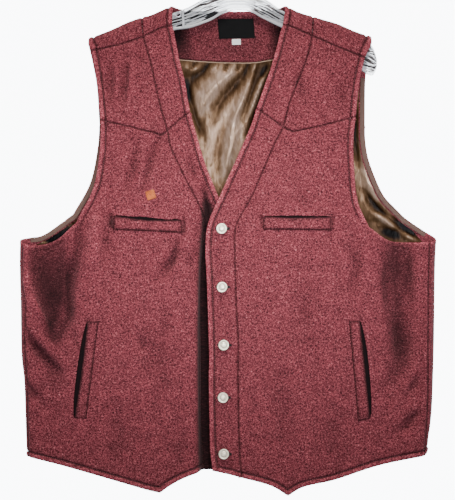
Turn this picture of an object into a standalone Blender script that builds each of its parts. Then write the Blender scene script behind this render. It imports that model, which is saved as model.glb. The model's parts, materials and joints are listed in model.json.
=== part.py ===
"""A man's western vest in felted wool, buttoned and hung on a clear plastic hanger.

Metres, +Z up, the front towards -Y. The origin is the inside of the hook's
crown, where the hanger hangs. Sides are the wearer's: the left is at +X.

Every piece of cloth is a wall. Its edges are drawn flat, as pairs of (across,
drop), the drop being measured down from the origin. The cloth is then set on
one of two layers, front or back, which swell apart over the body, crease, roll
round the side folds and pass over the shoulders.
"""
import math

import bmesh
import bpy
import numpy as np

# Walls and gaps
WOOL = 0.0020
FACING = 0.0015
SATIN = 0.0010
SEAM_GAP = 0.0003
LAP_GAP = 0.0009
LINING_GAP = 0.0024

# The layers
CREST_RADIUS = 0.010
SIDE_RADIUS = 0.014
MIDDLE = -0.0105
OVERLAP_LIFT = 0.0032
SLOPE_STEP = 0.0004

# Shoulder line over the hanger, across and drop
SHOULDER_LINE = (
    (-0.2240, 0.1470), (-0.1890, 0.1335), (-0.1590, 0.1200), (-0.1290, 0.1110),
    (-0.1140, 0.1045), (-0.0980, 0.0985), (-0.0780, 0.1000), (0.0000, 0.1005),
    (0.0560, 0.0995), (0.0750, 0.0980), (0.0960, 0.1070), (0.1275, 0.1165),
    (0.1530, 0.1240), (0.1785, 0.1350), (0.2060, 0.1445))
# Side folds, drop and across
LEFT_FOLD = (
    (0.445, 0.3025), (0.490, 0.3002), (0.610, 0.2985), (0.690, 0.2961),
    (0.725, 0.2935), (0.750, 0.2900), (0.780, 0.2885))
RIGHT_FOLD = (
    (0.445, -0.3255), (0.492, -0.3260), (0.545, -0.3246), (0.620, -0.3234),
    (0.665, -0.3190), (0.740, -0.3165), (0.780, -0.3148))
# How far the layers stand off a flat vest: drop, front, back
SWELL = (
    (0.110, 0.000, 0.000), (0.200, 0.008, 0.007), (0.320, 0.014, 0.012),
    (0.450, 0.016, 0.011), (0.620, 0.015, 0.008), (0.840, 0.013, 0.007))
# Half of the width that swells, drop and width
SWELL_WIDTH = (
    (0.100, 0.215), (0.270, 0.212), (0.360, 0.230), (0.420, 0.275),
    (0.460, 0.298), (0.840, 0.295))

# Folds: start across, start drop, end across, end drop, half width, height
RIGHT_FOLDS = (
    (-0.298, 0.385, -0.272, 0.560, 0.024, -0.0115),
    (-0.321, 0.505, -0.283, 0.575, 0.008, 0.0040),
    (-0.247, 0.500, -0.252, 0.566, 0.009, -0.0050),
    (-0.210, 0.428, -0.217, 0.480, 0.011, 0.0050),
    (-0.312, 0.597, -0.272, 0.644, 0.008, -0.0050),
    (-0.316, 0.660, -0.288, 0.700, 0.008, -0.0040),
    (-0.166, 0.180, -0.172, 0.250, 0.007, -0.0030),
    (-0.189, 0.180, -0.192, 0.240, 0.007, -0.0025),
    (-0.113, 0.294, -0.140, 0.380, 0.008, -0.0035),
    (-0.149, 0.315, -0.167, 0.375, 0.008, -0.0025),
    (-0.092, 0.478, -0.113, 0.502, 0.008, -0.0030),
    (-0.147, 0.595, -0.128, 0.617, 0.008, -0.0025),
    (-0.046, 0.440, -0.045, 0.800, 0.011, -0.0085))
LEFT_FOLDS = (
    (0.246, 0.430, 0.250, 0.600, 0.020, -0.0110),
    (0.253, 0.600, 0.238, 0.657, 0.014, -0.0045),
    (0.274, 0.662, 0.262, 0.682, 0.008, -0.0030),
    (0.272, 0.715, 0.249, 0.737, 0.008, -0.0030),
    (0.178, 0.459, 0.179, 0.526, 0.009, -0.0025),
    (0.097, 0.210, 0.104, 0.245, 0.010, -0.0020),
    (0.154, 0.220, 0.160, 0.260, 0.010, -0.0020))
BACK_FOLDS = (
    (0.246, 0.470, 0.238, 0.660, 0.024, -0.0040),
    (-0.262, 0.470, -0.250, 0.640, 0.024, -0.0045),
    (-0.110, 0.360, -0.122, 0.560, 0.026, -0.0030),
    (0.095, 0.370, 0.104, 0.600, 0.026, -0.0030),
    (-0.010, 0.600, -0.006, 0.780, 0.030, -0.0025))

# Steps along the edges that pieces share
BAND_STEPS = 3
YOKE_STEPS = 7
YOKE_ROWS = 7
ARM_ROWS = 9
ARM_STEPS = 5
SIDE_ROWS = 11
HEM_STEPS = 4
FOLD_STEPS = 4
LEG_STEPS = 2
CREST_STEPS = 6
BLADE_STEPS = 6
BACK_ARM_ROWS = 6
BACK_ARM_STEPS = 3
BACK_STEPS = 16

# Linear colours: red, green, blue
WOOL_COLOUR = (0.165, 0.052, 0.058)
SATIN_COLOUR = (0.190, 0.115, 0.075)
BINDING_COLOUR = (0.130, 0.085, 0.070)
LABEL_COLOUR = (0.010, 0.010, 0.012)
TAB_COLOUR = (0.800, 0.800, 0.780)
METAL_COLOUR = (0.700, 0.690, 0.660)
CLEAR_COLOUR = (0.850, 0.870, 0.880)


def clear_scene():
    """Removes what a new file holds."""
    for thing in list(bpy.data.objects):
        bpy.data.objects.remove(thing, do_unlink=True)


def make_collection(name):
    """A collection for the vest's pieces."""
    group = bpy.data.collections.new(name)
    bpy.context.scene.collection.children.link(group)
    return group


def make_material(name, colour, roughness, metallic=0.0, alpha=1.0):
    """A plain surface of one colour."""
    material = bpy.data.materials.new(name)
    material.use_nodes = True
    surface = material.node_tree.nodes["Principled BSDF"]
    surface.inputs["Base Color"].default_value = (*colour, 1.0)
    surface.inputs["Roughness"].default_value = roughness
    surface.inputs["Metallic"].default_value = metallic
    surface.inputs["Alpha"].default_value = alpha
    return material


# Edges drawn flat


def curve_through(points):
    """A dense smooth curve through a few points."""
    points = np.array(points, float)
    if len(points) == 2:
        return points
    before = np.vstack((2 * points[0] - points[1], points[:-1]))
    after = np.vstack((points[1:], 2 * points[-1] - points[-2]))
    slope = (after - before) / 2
    share = np.linspace(0, 1, 25)[:-1, None]
    spans = [
        start * (1 + 2 * share) * (1 - share) ** 2 + lean * share * (1 - share) ** 2
        + end * share ** 2 * (3 - 2 * share) + turn * share ** 2 * (share - 1)
        for start, end, lean, turn in zip(points[:-1], points[1:], slope[:-1], slope[1:])]
    return np.vstack(spans + [points[-1:]])


def run(points, steps):
    """A smooth curve through points, cut into steps of equal length."""
    dense = curve_through(points)
    length = np.append(0, np.cumsum(np.hypot(*np.diff(dense, axis=0).T)))
    stops = np.linspace(0, length[-1], steps + 1)
    return np.column_stack([np.interp(stops, length, column) for column in dense.T])


def join(*runs):
    """One edge made of runs that meet end to end."""
    return np.vstack([runs[0]] + [piece[1:] for piece in runs[1:]])


def reading(table, column=1):
    """A function that reads a smooth curve through a table's first and another column."""
    table = np.array(table, float)
    dense = curve_through(table[:, [0, column]])
    return lambda value: np.interp(value, dense[:, 0], dense[:, 1])


def sideways(edge):
    """Unit vectors across an edge, a quarter turn from its direction."""
    along = np.gradient(edge, axis=0)
    along /= np.hypot(*along.T)[:, None]
    return np.column_stack((-along[:, 1], along[:, 0]))


def shifted(edge, towards, distance):
    """An edge moved sideways by a distance, to the side where another edge lies."""
    across = sideways(edge)
    side = np.sign(np.sum(across * (towards - edge), axis=1))
    return edge + across * side[:, None] * distance


def flat_grid(start, end, first, last, seams=()):
    """Rows of points between four edges: start to end across, first to last down.

    The edges named in seams are drawn in by half of the gap between pieces.
    """
    across = np.linspace(0, 1, len(start))[None, :, None]
    down = np.linspace(0, 1, len(first))[:, None, None]
    corners = ((1 - down) * ((1 - across) * start[0] + across * start[-1])
               + down * ((1 - across) * end[0] + across * end[-1]))
    grid = ((1 - down) * start[None] + down * end[None]
            + (1 - across) * first[:, None] + across * last[:, None] - corners)
    half = SEAM_GAP / 2
    inner = grid.copy()
    if "start" in seams:
        grid[0] += shifted(inner[0], inner[1], half) - inner[0]
    if "end" in seams:
        grid[-1] += shifted(inner[-1], inner[-2], half) - inner[-1]
    if "first" in seams:
        grid[:, 0] += shifted(inner[:, 0], inner[:, 1], half) - inner[:, 0]
    if "last" in seams:
        grid[:, -1] += shifted(inner[:, -1], inner[:, -2], half) - inner[:, -1]
    return grid


def stepped_grid(upper, lower, skipped=0):
    """One grid from an upper one and a wider lower one, which starts with its last row.

    The upper grid starts some columns in, and what lies beside it stays empty.
    """
    rows = len(upper) - 1
    whole = np.full((rows + len(lower), lower.shape[1], 2), np.nan)
    whole[:rows, skipped:skipped + upper.shape[1]] = upper[:-1]
    whole[rows:] = lower
    return whole


# The two layers

shoulder_drop = reading(SHOULDER_LINE)
left_fold = reading(LEFT_FOLD)
right_fold = reading(RIGHT_FOLD)
front_swell = reading(SWELL, 1)
back_swell = reading(SWELL, 2)
swell_width = reading(SWELL_WIDTH)


def rise(value, start, end):
    """Goes smoothly from 0 at start to 1 at end."""
    share = np.clip((value - start) / (end - start), 0, 1)
    return share * share * (3 - 2 * share)


def radius_at(drop):
    """Half of the vest's thickness where it is flat."""
    return CREST_RADIUS + (SIDE_RADIUS - CREST_RADIUS) * rise(drop, 0.22, 0.44)


def swell_at(across, drop, height):
    """How far a layer stands off, from its middle to nothing at its edges and shoulders."""
    share = np.clip(np.abs(across - MIDDLE) / swell_width(drop), 0, 1)
    below = drop - shoulder_drop(across) - CREST_RADIUS
    return height(drop) * (1 - share ** 2) ** 1.5 * rise(below, 0.0, 0.10)


def folds_at(across, drop, folds):
    """Height of the folds, fading out at the side folds and the shoulders."""
    total = np.zeros(np.shape(across))
    for start_x, start_drop, end_x, end_drop, width, height in folds:
        run_x, run_drop = end_x - start_x, end_drop - start_drop
        length = math.hypot(run_x, run_drop)
        along = ((across - start_x) * run_x + (drop - start_drop) * run_drop) / length
        aside = ((across - start_x) * run_drop - (drop - start_drop) * run_x) / length
        past = np.maximum(np.maximum(-along, along - length), 0)
        total += height * np.exp(-(aside / width) ** 2 - (past / (2.2 * width)) ** 2)
    edge = np.minimum(left_fold(drop) - across, across - right_fold(drop))
    shoulder = drop - shoulder_drop(across)
    return total * rise(edge, 0.4 * SIDE_RADIUS, 2.2 * SIDE_RADIUS) * rise(shoulder, 0.030, 0.070)


def roll_sides(flat, drop):
    """Rolls cloth round the side folds: place across, and the cosine of its turn."""
    high = left_fold(drop) - SIDE_RADIUS
    low = right_fold(drop) + SIDE_RADIUS
    over = np.maximum(flat - high, 0) / SIDE_RADIUS
    under = np.maximum(low - flat, 0) / SIDE_RADIUS
    across = np.clip(flat, low, high) + SIDE_RADIUS * (np.sin(over) - np.sin(under))
    return across, np.cos(over + under)


def overlap_lift(across, drop):
    """How far the left front lies proud, to pass over the right one."""
    return OVERLAP_LIFT * rise(drop, 0.25, 0.36) * (1 - rise(across, 0.005, 0.100))


def right_layer(flat, drop):
    """Outer face of the right front."""
    across, cosine = roll_sides(flat, drop)
    depth = (radius_at(drop) * cosine + swell_at(across, drop, front_swell)
             + folds_at(across, drop, RIGHT_FOLDS))
    return np.stack((across, -depth, -drop), axis=-1)


def left_layer(flat, drop):
    """Outer face of the left front, which is worn over the right one."""
    across, cosine = roll_sides(flat, drop)
    depth = (radius_at(drop) * cosine + swell_at(across, drop, front_swell)
             + folds_at(across, drop, LEFT_FOLDS) + overlap_lift(across, drop))
    return np.stack((across, -depth, -drop), axis=-1)


def back_layer(flat, drop):
    """Outer face of the back, also where it passes over the shoulders to the front."""
    across, cosine = roll_sides(flat, drop)
    brow = shoulder_drop(across) + CREST_RADIUS
    turn = np.clip((brow - drop) / CREST_RADIUS, 0, math.pi)
    beyond = np.maximum(brow - math.pi * CREST_RADIUS - drop, 0)
    level = np.maximum(drop, brow) - CREST_RADIUS * np.sin(turn) + beyond
    behind = swell_at(across, drop, back_swell) + folds_at(across, drop, BACK_FOLDS)
    before = swell_at(across, level, front_swell)
    depth = (radius_at(drop) * cosine * np.cos(turn) + np.where(turn > 0, 0, behind)
             - np.where(beyond > 0, before, 0))
    return np.stack((across, depth, -level), axis=-1)


def outward(layer, flat, drop):
    """Unit vectors out of a layer, away from the body."""
    step = SLOPE_STEP
    along = layer(flat + step, drop) - layer(flat - step, drop)
    down = layer(flat, drop + step) - layer(flat, drop - step)
    out = np.cross(along, down)
    out /= np.linalg.norm(out, axis=-1, keepdims=True)
    return out if layer is back_layer else -out


def seen_front(across, drop, fold, sign):
    """A place on the front's roll, given as it is seen, measured along the cloth."""
    start = fold(drop) - sign * SIDE_RADIUS
    past = np.clip(sign * (across - start) / SIDE_RADIUS, 0, 1)
    return np.where(past > 0, start + sign * SIDE_RADIUS * np.arcsin(past), across)


def seen_from_back(across, drop, fold, sign):
    """The same place, measured along the back's cloth round the fold."""
    start = fold(drop) - sign * SIDE_RADIUS
    past = np.clip(sign * (across - start) / SIDE_RADIUS, 0, 1)
    return start + sign * SIDE_RADIUS * (math.pi - np.arcsin(past))


def front_drop(across, drop):
    """A drop on the front, measured along the back's cloth over the shoulder."""
    brow = shoulder_drop(across) + CREST_RADIUS
    return 2 * brow - math.pi * CREST_RADIUS - drop


def place_in_grid(vert, rows, columns):
    """The row and column of a vertex in a grid one unit wide."""
    return round((vert.co.y + 0.5) * rows), round((vert.co.x + 0.5) * columns)


def make_wall(name, layer, grid, outside, thickness, material, group):
    """A closed wall of cloth over a flat grid, its outer face `outside` off the layer."""
    flat, drop = grid[..., 0], grid[..., 1]
    surface = layer(flat, drop)
    out = outward(layer, flat, drop)
    outer = surface + out * outside
    inner = outer - out * thickness
    rows, columns = grid.shape[0] - 1, grid.shape[1] - 1
    sheet = bmesh.new()
    bmesh.ops.create_grid(sheet, x_segments=columns, y_segments=rows, size=0.5)
    empty = [vert for vert in sheet.verts if np.isnan(flat[place_in_grid(vert, rows, columns)])]
    bmesh.ops.delete(sheet, geom=empty, context="VERTS")
    made = bmesh.ops.extrude_face_region(sheet, geom=sheet.faces[:], use_keep_orig=True)
    inside = {vert for vert in made["geom"] if isinstance(vert, bmesh.types.BMVert)}
    for vert in sheet.verts:
        vert.co = (inner if vert in inside else outer)[place_in_grid(vert, rows, columns)]
    bmesh.ops.recalc_face_normals(sheet, faces=sheet.faces[:])
    mesh = bpy.data.meshes.new(name)
    sheet.to_mesh(mesh)
    sheet.free()
    mesh.shade_smooth()
    mesh.set_sharp_from_angle(angle=math.radians(40))
    mesh.materials.append(material)
    wall = bpy.data.objects.new(name, mesh)
    group.objects.link(wall)
    return wall


clear_scene()
vest = make_collection("western_vest")
wool = make_material("felted_wool", WOOL_COLOUR, 0.95)
satin = make_material("lining_satin", SATIN_COLOUR, 0.35)
tape = make_material("binding_tape", BINDING_COLOUR, 0.85)
black_weave = make_material("label_weave", LABEL_COLOUR, 0.80)
white_weave = make_material("tab_weave", TAB_COLOUR, 0.80)
nickel = make_material("button_nickel", METAL_COLOUR, 0.30, metallic=1.0)
clear_plastic = make_material("hanger_plastic", CLEAR_COLOUR, 0.15, alpha=0.45)

# Seams and edges of the left front, from the neck outwards

left_forward_band = run(((0.0705, 0.1260), (0.0870, 0.1305), (0.1143, 0.1425)), BAND_STEPS)
left_forward_yoke = run(((0.1143, 0.1425), (0.1530, 0.1594), (0.1940, 0.1755)), YOKE_STEPS)
left_yoke_band = run(((0.0307, 0.2527), (0.0500, 0.2655), (0.0711, 0.2808)), BAND_STEPS)
left_yoke_side = join(
    run(((0.0711, 0.2808), (0.0862, 0.2875)), 2),
    run(((0.0862, 0.2875), (0.1314, 0.2775), (0.1800, 0.2645)), 2 * YOKE_STEPS - 2))
left_neck = run(
    ((0.0705, 0.1260), (0.0660, 0.1400), (0.0600, 0.1650), (0.0510, 0.1950),
     (0.0405, 0.2250), (0.0307, 0.2527)), YOKE_ROWS)
left_edge = join(
    run(((0.0307, 0.2527), (0.0210, 0.2820), (0.0000, 0.3300), (-0.0255, 0.3870),
         (-0.0395, 0.4180), (-0.0446, 0.4400), (-0.0460, 0.4720)), ARM_ROWS),
    run(((-0.0460, 0.4720), (-0.0438, 0.5100), (-0.0402, 0.6225), (-0.0408, 0.6570),
         (-0.0399, 0.7125), (-0.0388, 0.7600), (-0.0355, 0.7954)), SIDE_ROWS))
left_seam_up = run(
    ((0.1143, 0.1425), (0.1095, 0.1661), (0.1010, 0.1920), (0.0815, 0.2420),
     (0.0711, 0.2808)), YOKE_ROWS)
left_seam = join(
    run(((0.0711, 0.2808), (0.0558, 0.3105), (0.0265, 0.3790), (0.0080, 0.4120),
         (-0.0010, 0.4320), (-0.0022, 0.4600)), ARM_ROWS),
    run(((-0.0022, 0.4600), (0.0000, 0.5400), (0.0033, 0.6000), (0.0030, 0.6600),
         (0.0045, 0.7500), (0.0083, 0.8058)), SIDE_ROWS))
left_arm_up = run(((0.1940, 0.1755), (0.1878, 0.2025), (0.1835, 0.2295), (0.1800, 0.2645)), YOKE_ROWS)
left_arm = run(
    ((0.1800, 0.2645), (0.1765, 0.3000), (0.1773, 0.3375), (0.1827, 0.3915),
     (0.1997, 0.4305)), ARM_ROWS)
left_pit = run(((0.1997, 0.4305), (0.2290, 0.4500), (0.2600, 0.4537), (0.2910, 0.4530)), ARM_STEPS)
left_side = run(((0.2910, 0.4530), (0.2890, 0.5400), (0.2885, 0.6900), (0.2835, 0.7745)), SIDE_ROWS)
left_hem_band = run(((-0.0355, 0.7954), (-0.0120, 0.8005), (0.0083, 0.8058)), BAND_STEPS)
left_hem = join(
    run(((0.0083, 0.8058), (0.0400, 0.8140), (0.0585, 0.8210), (0.0777, 0.8333)), HEM_STEPS),
    run(((0.0777, 0.8333), (0.1020, 0.8199), (0.1485, 0.8095), (0.2145, 0.7885),
         (0.2835, 0.7745)), 2 * YOKE_STEPS + ARM_STEPS - HEM_STEPS))

# Seams and edges of the right front, from the neck outwards

right_forward_band = run(((-0.0960, 0.1260), (-0.1150, 0.1320), (-0.1395, 0.1440)), BAND_STEPS)
right_forward_yoke = run(((-0.1395, 0.1440), (-0.1750, 0.1560), (-0.2175, 0.1653)), YOKE_STEPS)
right_yoke_band = run(((-0.0687, 0.2580), (-0.0860, 0.2710), (-0.1032, 0.2862)), BAND_STEPS)
right_yoke_side = join(
    run(((-0.1032, 0.2862), (-0.1119, 0.2923)), 2),
    run(((-0.1119, 0.2923), (-0.1446, 0.2836), (-0.2037, 0.2692)), 2 * YOKE_STEPS - 2))
right_neck = run(
    ((-0.0960, 0.1260), (-0.0930, 0.1380), (-0.0848, 0.1800), (-0.0772, 0.2100),
     (-0.0720, 0.2400), (-0.0687, 0.2580)), YOKE_ROWS)
right_edge = join(
    run(((-0.0687, 0.2580), (-0.0615, 0.2835), (-0.0465, 0.3345), (-0.0255, 0.3870),
         (-0.0150, 0.4100), (-0.0080, 0.4350), (-0.0065, 0.4650)), ARM_ROWS),
    run(((-0.0065, 0.4650), (-0.0060, 0.6500), (-0.0060, 0.7925)), SIDE_ROWS))
right_seam_up = run(
    ((-0.1395, 0.1440), (-0.1336, 0.1641), (-0.1272, 0.1881), (-0.1152, 0.2427),
     (-0.1032, 0.2862)), YOKE_ROWS)
right_seam = join(
    run(((-0.1032, 0.2862), (-0.0966, 0.3141), (-0.0705, 0.3687), (-0.0573, 0.3927),
         (-0.0490, 0.4145), (-0.0470, 0.4350), (-0.0478, 0.4580)), ARM_ROWS),
    run(((-0.0478, 0.4580), (-0.0490, 0.5100), (-0.0480, 0.6315), (-0.0480, 0.7245),
         (-0.0465, 0.7955)), SIDE_ROWS))
right_arm_up = run(
    ((-0.2175, 0.1653), (-0.2122, 0.1950), (-0.2079, 0.2250), (-0.2037, 0.2692)), YOKE_ROWS)
right_arm = run(
    ((-0.2037, 0.2692), (-0.2040, 0.2955), (-0.2055, 0.3225), (-0.2150, 0.3735),
     (-0.2416, 0.4253)), ARM_ROWS)
right_pit = run(
    ((-0.2416, 0.4253), (-0.2710, 0.4500), (-0.3020, 0.4580), (-0.3215, 0.4545)), ARM_STEPS)
right_side = run(
    ((-0.3215, 0.4545), (-0.3200, 0.5025), (-0.3160, 0.5355), (-0.3170, 0.5700),
     (-0.3180, 0.6075), (-0.3145, 0.6675), (-0.3125, 0.7575), (-0.3118, 0.7762)), SIDE_ROWS)
right_hem_band = run(((-0.0060, 0.7925), (-0.0250, 0.7935), (-0.0465, 0.7955)), BAND_STEPS)
right_hem = join(
    run(((-0.0465, 0.7955), (-0.0750, 0.8055), (-0.0966, 0.8167), (-0.1140, 0.8290)), HEM_STEPS),
    run(((-0.1140, 0.8290), (-0.1365, 0.8238), (-0.1905, 0.8085), (-0.2565, 0.7900),
         (-0.3118, 0.7762)), 2 * YOKE_STEPS + ARM_STEPS - HEM_STEPS))


def on_roll(edge, fold, sign):
    """An edge drawn as it is seen, measured along the front's cloth near the side fold."""
    return np.column_stack((seen_front(edge[:, 0], edge[:, 1], fold, sign), edge[:, 1]))


def make_front(side, layer, fold, sign, edges):
    """The five pieces of one front, from the forward shoulder seam to the hem."""
    (forward_band, forward_yoke, yoke_band, yoke_side, neck, edge, seam_up, seam,
     arm_up, arm, pit, side_seam, hem_band, hem) = edges
    upper_band = flat_grid(forward_band, yoke_band, neck, seam_up, ("start", "end", "last"))
    make_wall(side + "_band_upper", layer, upper_band, 0, WOOL, wool, vest)
    yoke = flat_grid(forward_yoke, yoke_side[::2], seam_up, arm_up, ("start", "end", "first"))
    make_wall(side + "_front_yoke", layer, yoke, 0, WOOL, wool, vest)
    band = flat_grid(yoke_band, hem_band, edge, seam, ("start", "last"))
    make_wall(side + "_band", layer, band, 0, WOOL, wool, vest)
    chest = run((seam[ARM_ROWS], arm[-1]), 2 * YOKE_STEPS)
    upper = flat_grid(yoke_side, chest, seam[:ARM_ROWS + 1], arm, ("start", "first"))
    lower = flat_grid(
        join(chest, on_roll(pit, fold, sign)), on_roll(hem, fold, sign), seam[ARM_ROWS:],
        on_roll(side_seam, fold, sign), ("first", "last"))
    make_wall(side + "_front", layer, stepped_grid(upper, lower), 0, WOOL, wool, vest)


make_front("left", left_layer, left_fold, 1, (
    left_forward_band, left_forward_yoke, left_yoke_band, left_yoke_side, left_neck,
    left_edge, left_seam_up, left_seam, left_arm_up, left_arm, left_pit, left_side,
    left_hem_band, left_hem))
make_front("right", right_layer, right_fold, -1, (
    right_forward_band, right_forward_yoke, right_yoke_band, right_yoke_side, right_neck,
    right_edge, right_seam_up, right_seam, right_arm_up, right_arm, right_pit, right_side,
    right_hem_band, right_hem))

# The back, from the right side to the left


def over_shoulder(seam_end, top_x, steps=(LEG_STEPS, CREST_STEPS)):
    """An edge that leaves the forward seam and passes straight over the shoulder."""
    brow = float(shoulder_drop(top_x)) + CREST_RADIUS
    foot = (seam_end[0], float(front_drop(*seam_end)))
    return join(
        run((foot, (top_x, brow - math.pi * CREST_RADIUS)), steps[0]),
        run(((top_x, brow - math.pi * CREST_RADIUS), (top_x, brow)), steps[1]))


def from_back(edge, fold, sign):
    """A side seam measured along the back's cloth."""
    return np.column_stack((seen_from_back(edge[:, 0], edge[:, 1], fold, sign), edge[:, 1]))


right_arm_leg = over_shoulder(right_forward_yoke[-1], -0.2225)
left_arm_leg = over_shoulder(left_forward_yoke[-1], 0.2045)
right_band_leg = over_shoulder(right_forward_yoke[0], -0.1415)
left_band_leg = over_shoulder(left_forward_yoke[0], 0.1160)
right_blade = run(
    (right_arm_leg[-1], (-0.2160, 0.1850), (-0.2100, 0.2200), (-0.2064, 0.2760)), BLADE_STEPS)
left_blade = run(
    (left_arm_leg[-1], (0.1985, 0.1850), (0.1955, 0.2150), (0.1950, 0.2760)), BLADE_STEPS)
back_yoke_seam = join(
    run(((-0.2064, 0.2760), (-0.1000, 0.2960), (MIDDLE, 0.3150)), BACK_STEPS // 2),
    run(((MIDDLE, 0.3150), (0.0850, 0.2960), (0.1950, 0.2760)), BACK_STEPS // 2))
collar_seam = join(
    right_band_leg,
    run((right_band_leg[-1], (-0.1370, 0.1390), (-0.1240, 0.1510), (-0.0850, 0.1590)), BLADE_STEPS),
    run(((-0.0850, 0.1590), (MIDDLE, 0.1610), (0.0620, 0.1590)), BACK_STEPS),
    run(((0.0620, 0.1590), (0.1000, 0.1510), (0.1115, 0.1400), left_band_leg[-1]), BLADE_STEPS),
    left_band_leg[::-1])
right_neck_foot = (right_forward_band[0][0], float(front_drop(*right_forward_band[0])))
left_neck_foot = (left_forward_band[0][0], float(front_drop(*left_forward_band[0])))
neck_edge = join(
    run((right_neck_foot, (-0.0955, 0.0790)), LEG_STEPS),
    run(((-0.0955, 0.0790), (-0.0940, 0.0900), (-0.0895, 0.0965), (-0.0800, 0.1005),
         (-0.0690, 0.1028)), CREST_STEPS),
    run(((-0.0690, 0.1028), (-0.0550, 0.1035), (-0.0400, 0.1037)), BLADE_STEPS),
    run(((-0.0400, 0.1037), (0.0260, 0.1037)), BACK_STEPS),
    run(((0.0260, 0.1037), (0.0390, 0.1033), (0.0510, 0.1022)), BLADE_STEPS),
    run(((0.0510, 0.1022), (0.0610, 0.0998), (0.0695, 0.0955), (0.0730, 0.0880),
         (0.0738, 0.0780)), CREST_STEPS),
    run(((0.0738, 0.0780), left_neck_foot), LEG_STEPS))
outer_yoke = join(
    right_arm_leg, right_blade, back_yoke_seam, left_blade[::-1], left_arm_leg[::-1])


def forward_end(seam):
    """A forward seam measured along the back's cloth."""
    return np.column_stack((seam[:, 0], front_drop(seam[:, 0], seam[:, 1])))


neck_band = flat_grid(
    neck_edge, collar_seam, forward_end(right_forward_band), forward_end(left_forward_band),
    ("end", "first", "last"))
make_wall("neck_band_back", back_layer, neck_band, 0, WOOL, wool, vest)

yoke_grid = flat_grid(
    collar_seam, outer_yoke, forward_end(right_forward_yoke), forward_end(left_forward_yoke),
    ("start", "first", "last"))
beside = LEG_STEPS + CREST_STEPS + BLADE_STEPS
middle = slice(beside, beside + BACK_STEPS + 1)
yoke_grid[-1, middle] = shifted(back_yoke_seam, yoke_grid[-2, middle], SEAM_GAP / 2)
make_wall("back_yoke", back_layer, yoke_grid, 0, WOOL, wool, vest)

right_back_side = from_back(right_side, right_fold, -1)
left_back_side = from_back(left_side, left_fold, 1)
right_back_pit = join(
    run((right_back_side[0], (-0.3335, 0.4500), (-0.3110, 0.4462)), FOLD_STEPS),
    run(((-0.3110, 0.4462), (-0.2886, 0.4410), (-0.2467, 0.4110)), BACK_ARM_STEPS))
right_back_arm = run(
    ((-0.2064, 0.2760), (-0.2097, 0.3135), (-0.2210, 0.3645), (-0.2467, 0.4110)), BACK_ARM_ROWS)
left_back_arm = run(
    ((0.1950, 0.2760), (0.1960, 0.3015), (0.2022, 0.3330), (0.2217, 0.3795),
     (0.2420, 0.4030)), BACK_ARM_ROWS)
left_back_pit = join(
    run(((0.2420, 0.4030), (0.2583, 0.4185), (0.2880, 0.4385)), BACK_ARM_STEPS),
    run(((0.2880, 0.4385), (0.3100, 0.4490), left_back_side[0]), FOLD_STEPS))
back_chest = run((right_back_arm[-1], (MIDDLE, 0.4300), left_back_arm[-1]), BACK_STEPS)
back_hem = join(
    run((right_back_side[-1], (-0.3220, 0.7750), (-0.3000, 0.7745)), FOLD_STEPS),
    run(((-0.3000, 0.7745), (MIDDLE, 0.7750), (0.2745, 0.7710)), 2 * BACK_ARM_STEPS + BACK_STEPS),
    run(((0.2745, 0.7710), (0.2960, 0.7680), left_back_side[-1]), FOLD_STEPS))
upper_back = flat_grid(back_yoke_seam, back_chest, right_back_arm, left_back_arm, ("start",))
lower_back = flat_grid(
    join(right_back_pit, back_chest, left_back_pit), back_hem, right_back_side, left_back_side,
    ("first", "last"))
back_grid = stepped_grid(upper_back, lower_back, FOLD_STEPS + BACK_ARM_STEPS)
make_wall("back_panel", back_layer, back_grid, 0, WOOL, wool, vest)

# Inside the back: the facing at the neck, the lining below it and the armholes' tape

FACING_STEPS = 12
FACING_ROWS = 4
LINING_STEPS = 18
BINDING_INSET = 0.0010
BINDING_WIDTH = 0.0065
LINING_INSET = 0.0095

facing_top = run(((-0.0990, 0.1160), (-0.0850, 0.1150), (MIDDLE, 0.1150), (0.0650, 0.1150),
                  (0.0810, 0.1160)), FACING_STEPS)
facing_foot = run(
    ((-0.1000, 0.1758), (-0.0855, 0.1770), (-0.0465, 0.1800), (-0.0090, 0.1815),
     (0.0285, 0.1813), (0.0525, 0.1777), (0.0820, 0.1745)), FACING_STEPS)
facing_grid = flat_grid(
    facing_top, facing_foot, run((facing_top[0], facing_foot[0]), FACING_ROWS),
    run((facing_top[-1], facing_foot[-1]), FACING_ROWS))
make_wall("neck_facing", back_layer, facing_grid, -WOOL - LAP_GAP, FACING, wool, vest)

LABEL = 0.0006
TAB = 0.0005
label_depth = -WOOL - LAP_GAP - FACING - SEAM_GAP
LABEL_CORNERS = ((-0.0280, 0.1162), (0.0265, 0.1157), (0.0290, 0.1445), (-0.0255, 0.1460))
TAB_CORNERS = ((-0.0060, 0.1462), (0.0072, 0.1460), (0.0074, 0.1545), (-0.0058, 0.1548))


def four_sided(corners, across, down):
    """A flat grid between four corners, given round from the first."""
    first, second, third, fourth = (np.array(corner, float) for corner in corners)
    return flat_grid(
        run((first, second), across), run((fourth, third), across),
        run((first, fourth), down), run((second, third), down))


make_wall("label", back_layer, four_sided(LABEL_CORNERS, 4, 2), label_depth, LABEL, black_weave, vest)
make_wall("size_tab", back_layer, four_sided(TAB_CORNERS, 1, 1), label_depth, TAB, white_weave, vest)

right_back_edge = join(
    run(((-0.2120, 0.2050), (-0.2085, 0.2350), (-0.2064, 0.2760)), 3),
    right_back_arm, right_back_pit[FOLD_STEPS:][::-1])
left_back_edge = join(
    run(((0.1960, 0.2050), (0.1953, 0.2350), (0.1950, 0.2760)), 3),
    left_back_arm, left_back_pit[:-FOLD_STEPS])
inwards = np.array((MIDDLE, 0.60))


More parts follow.
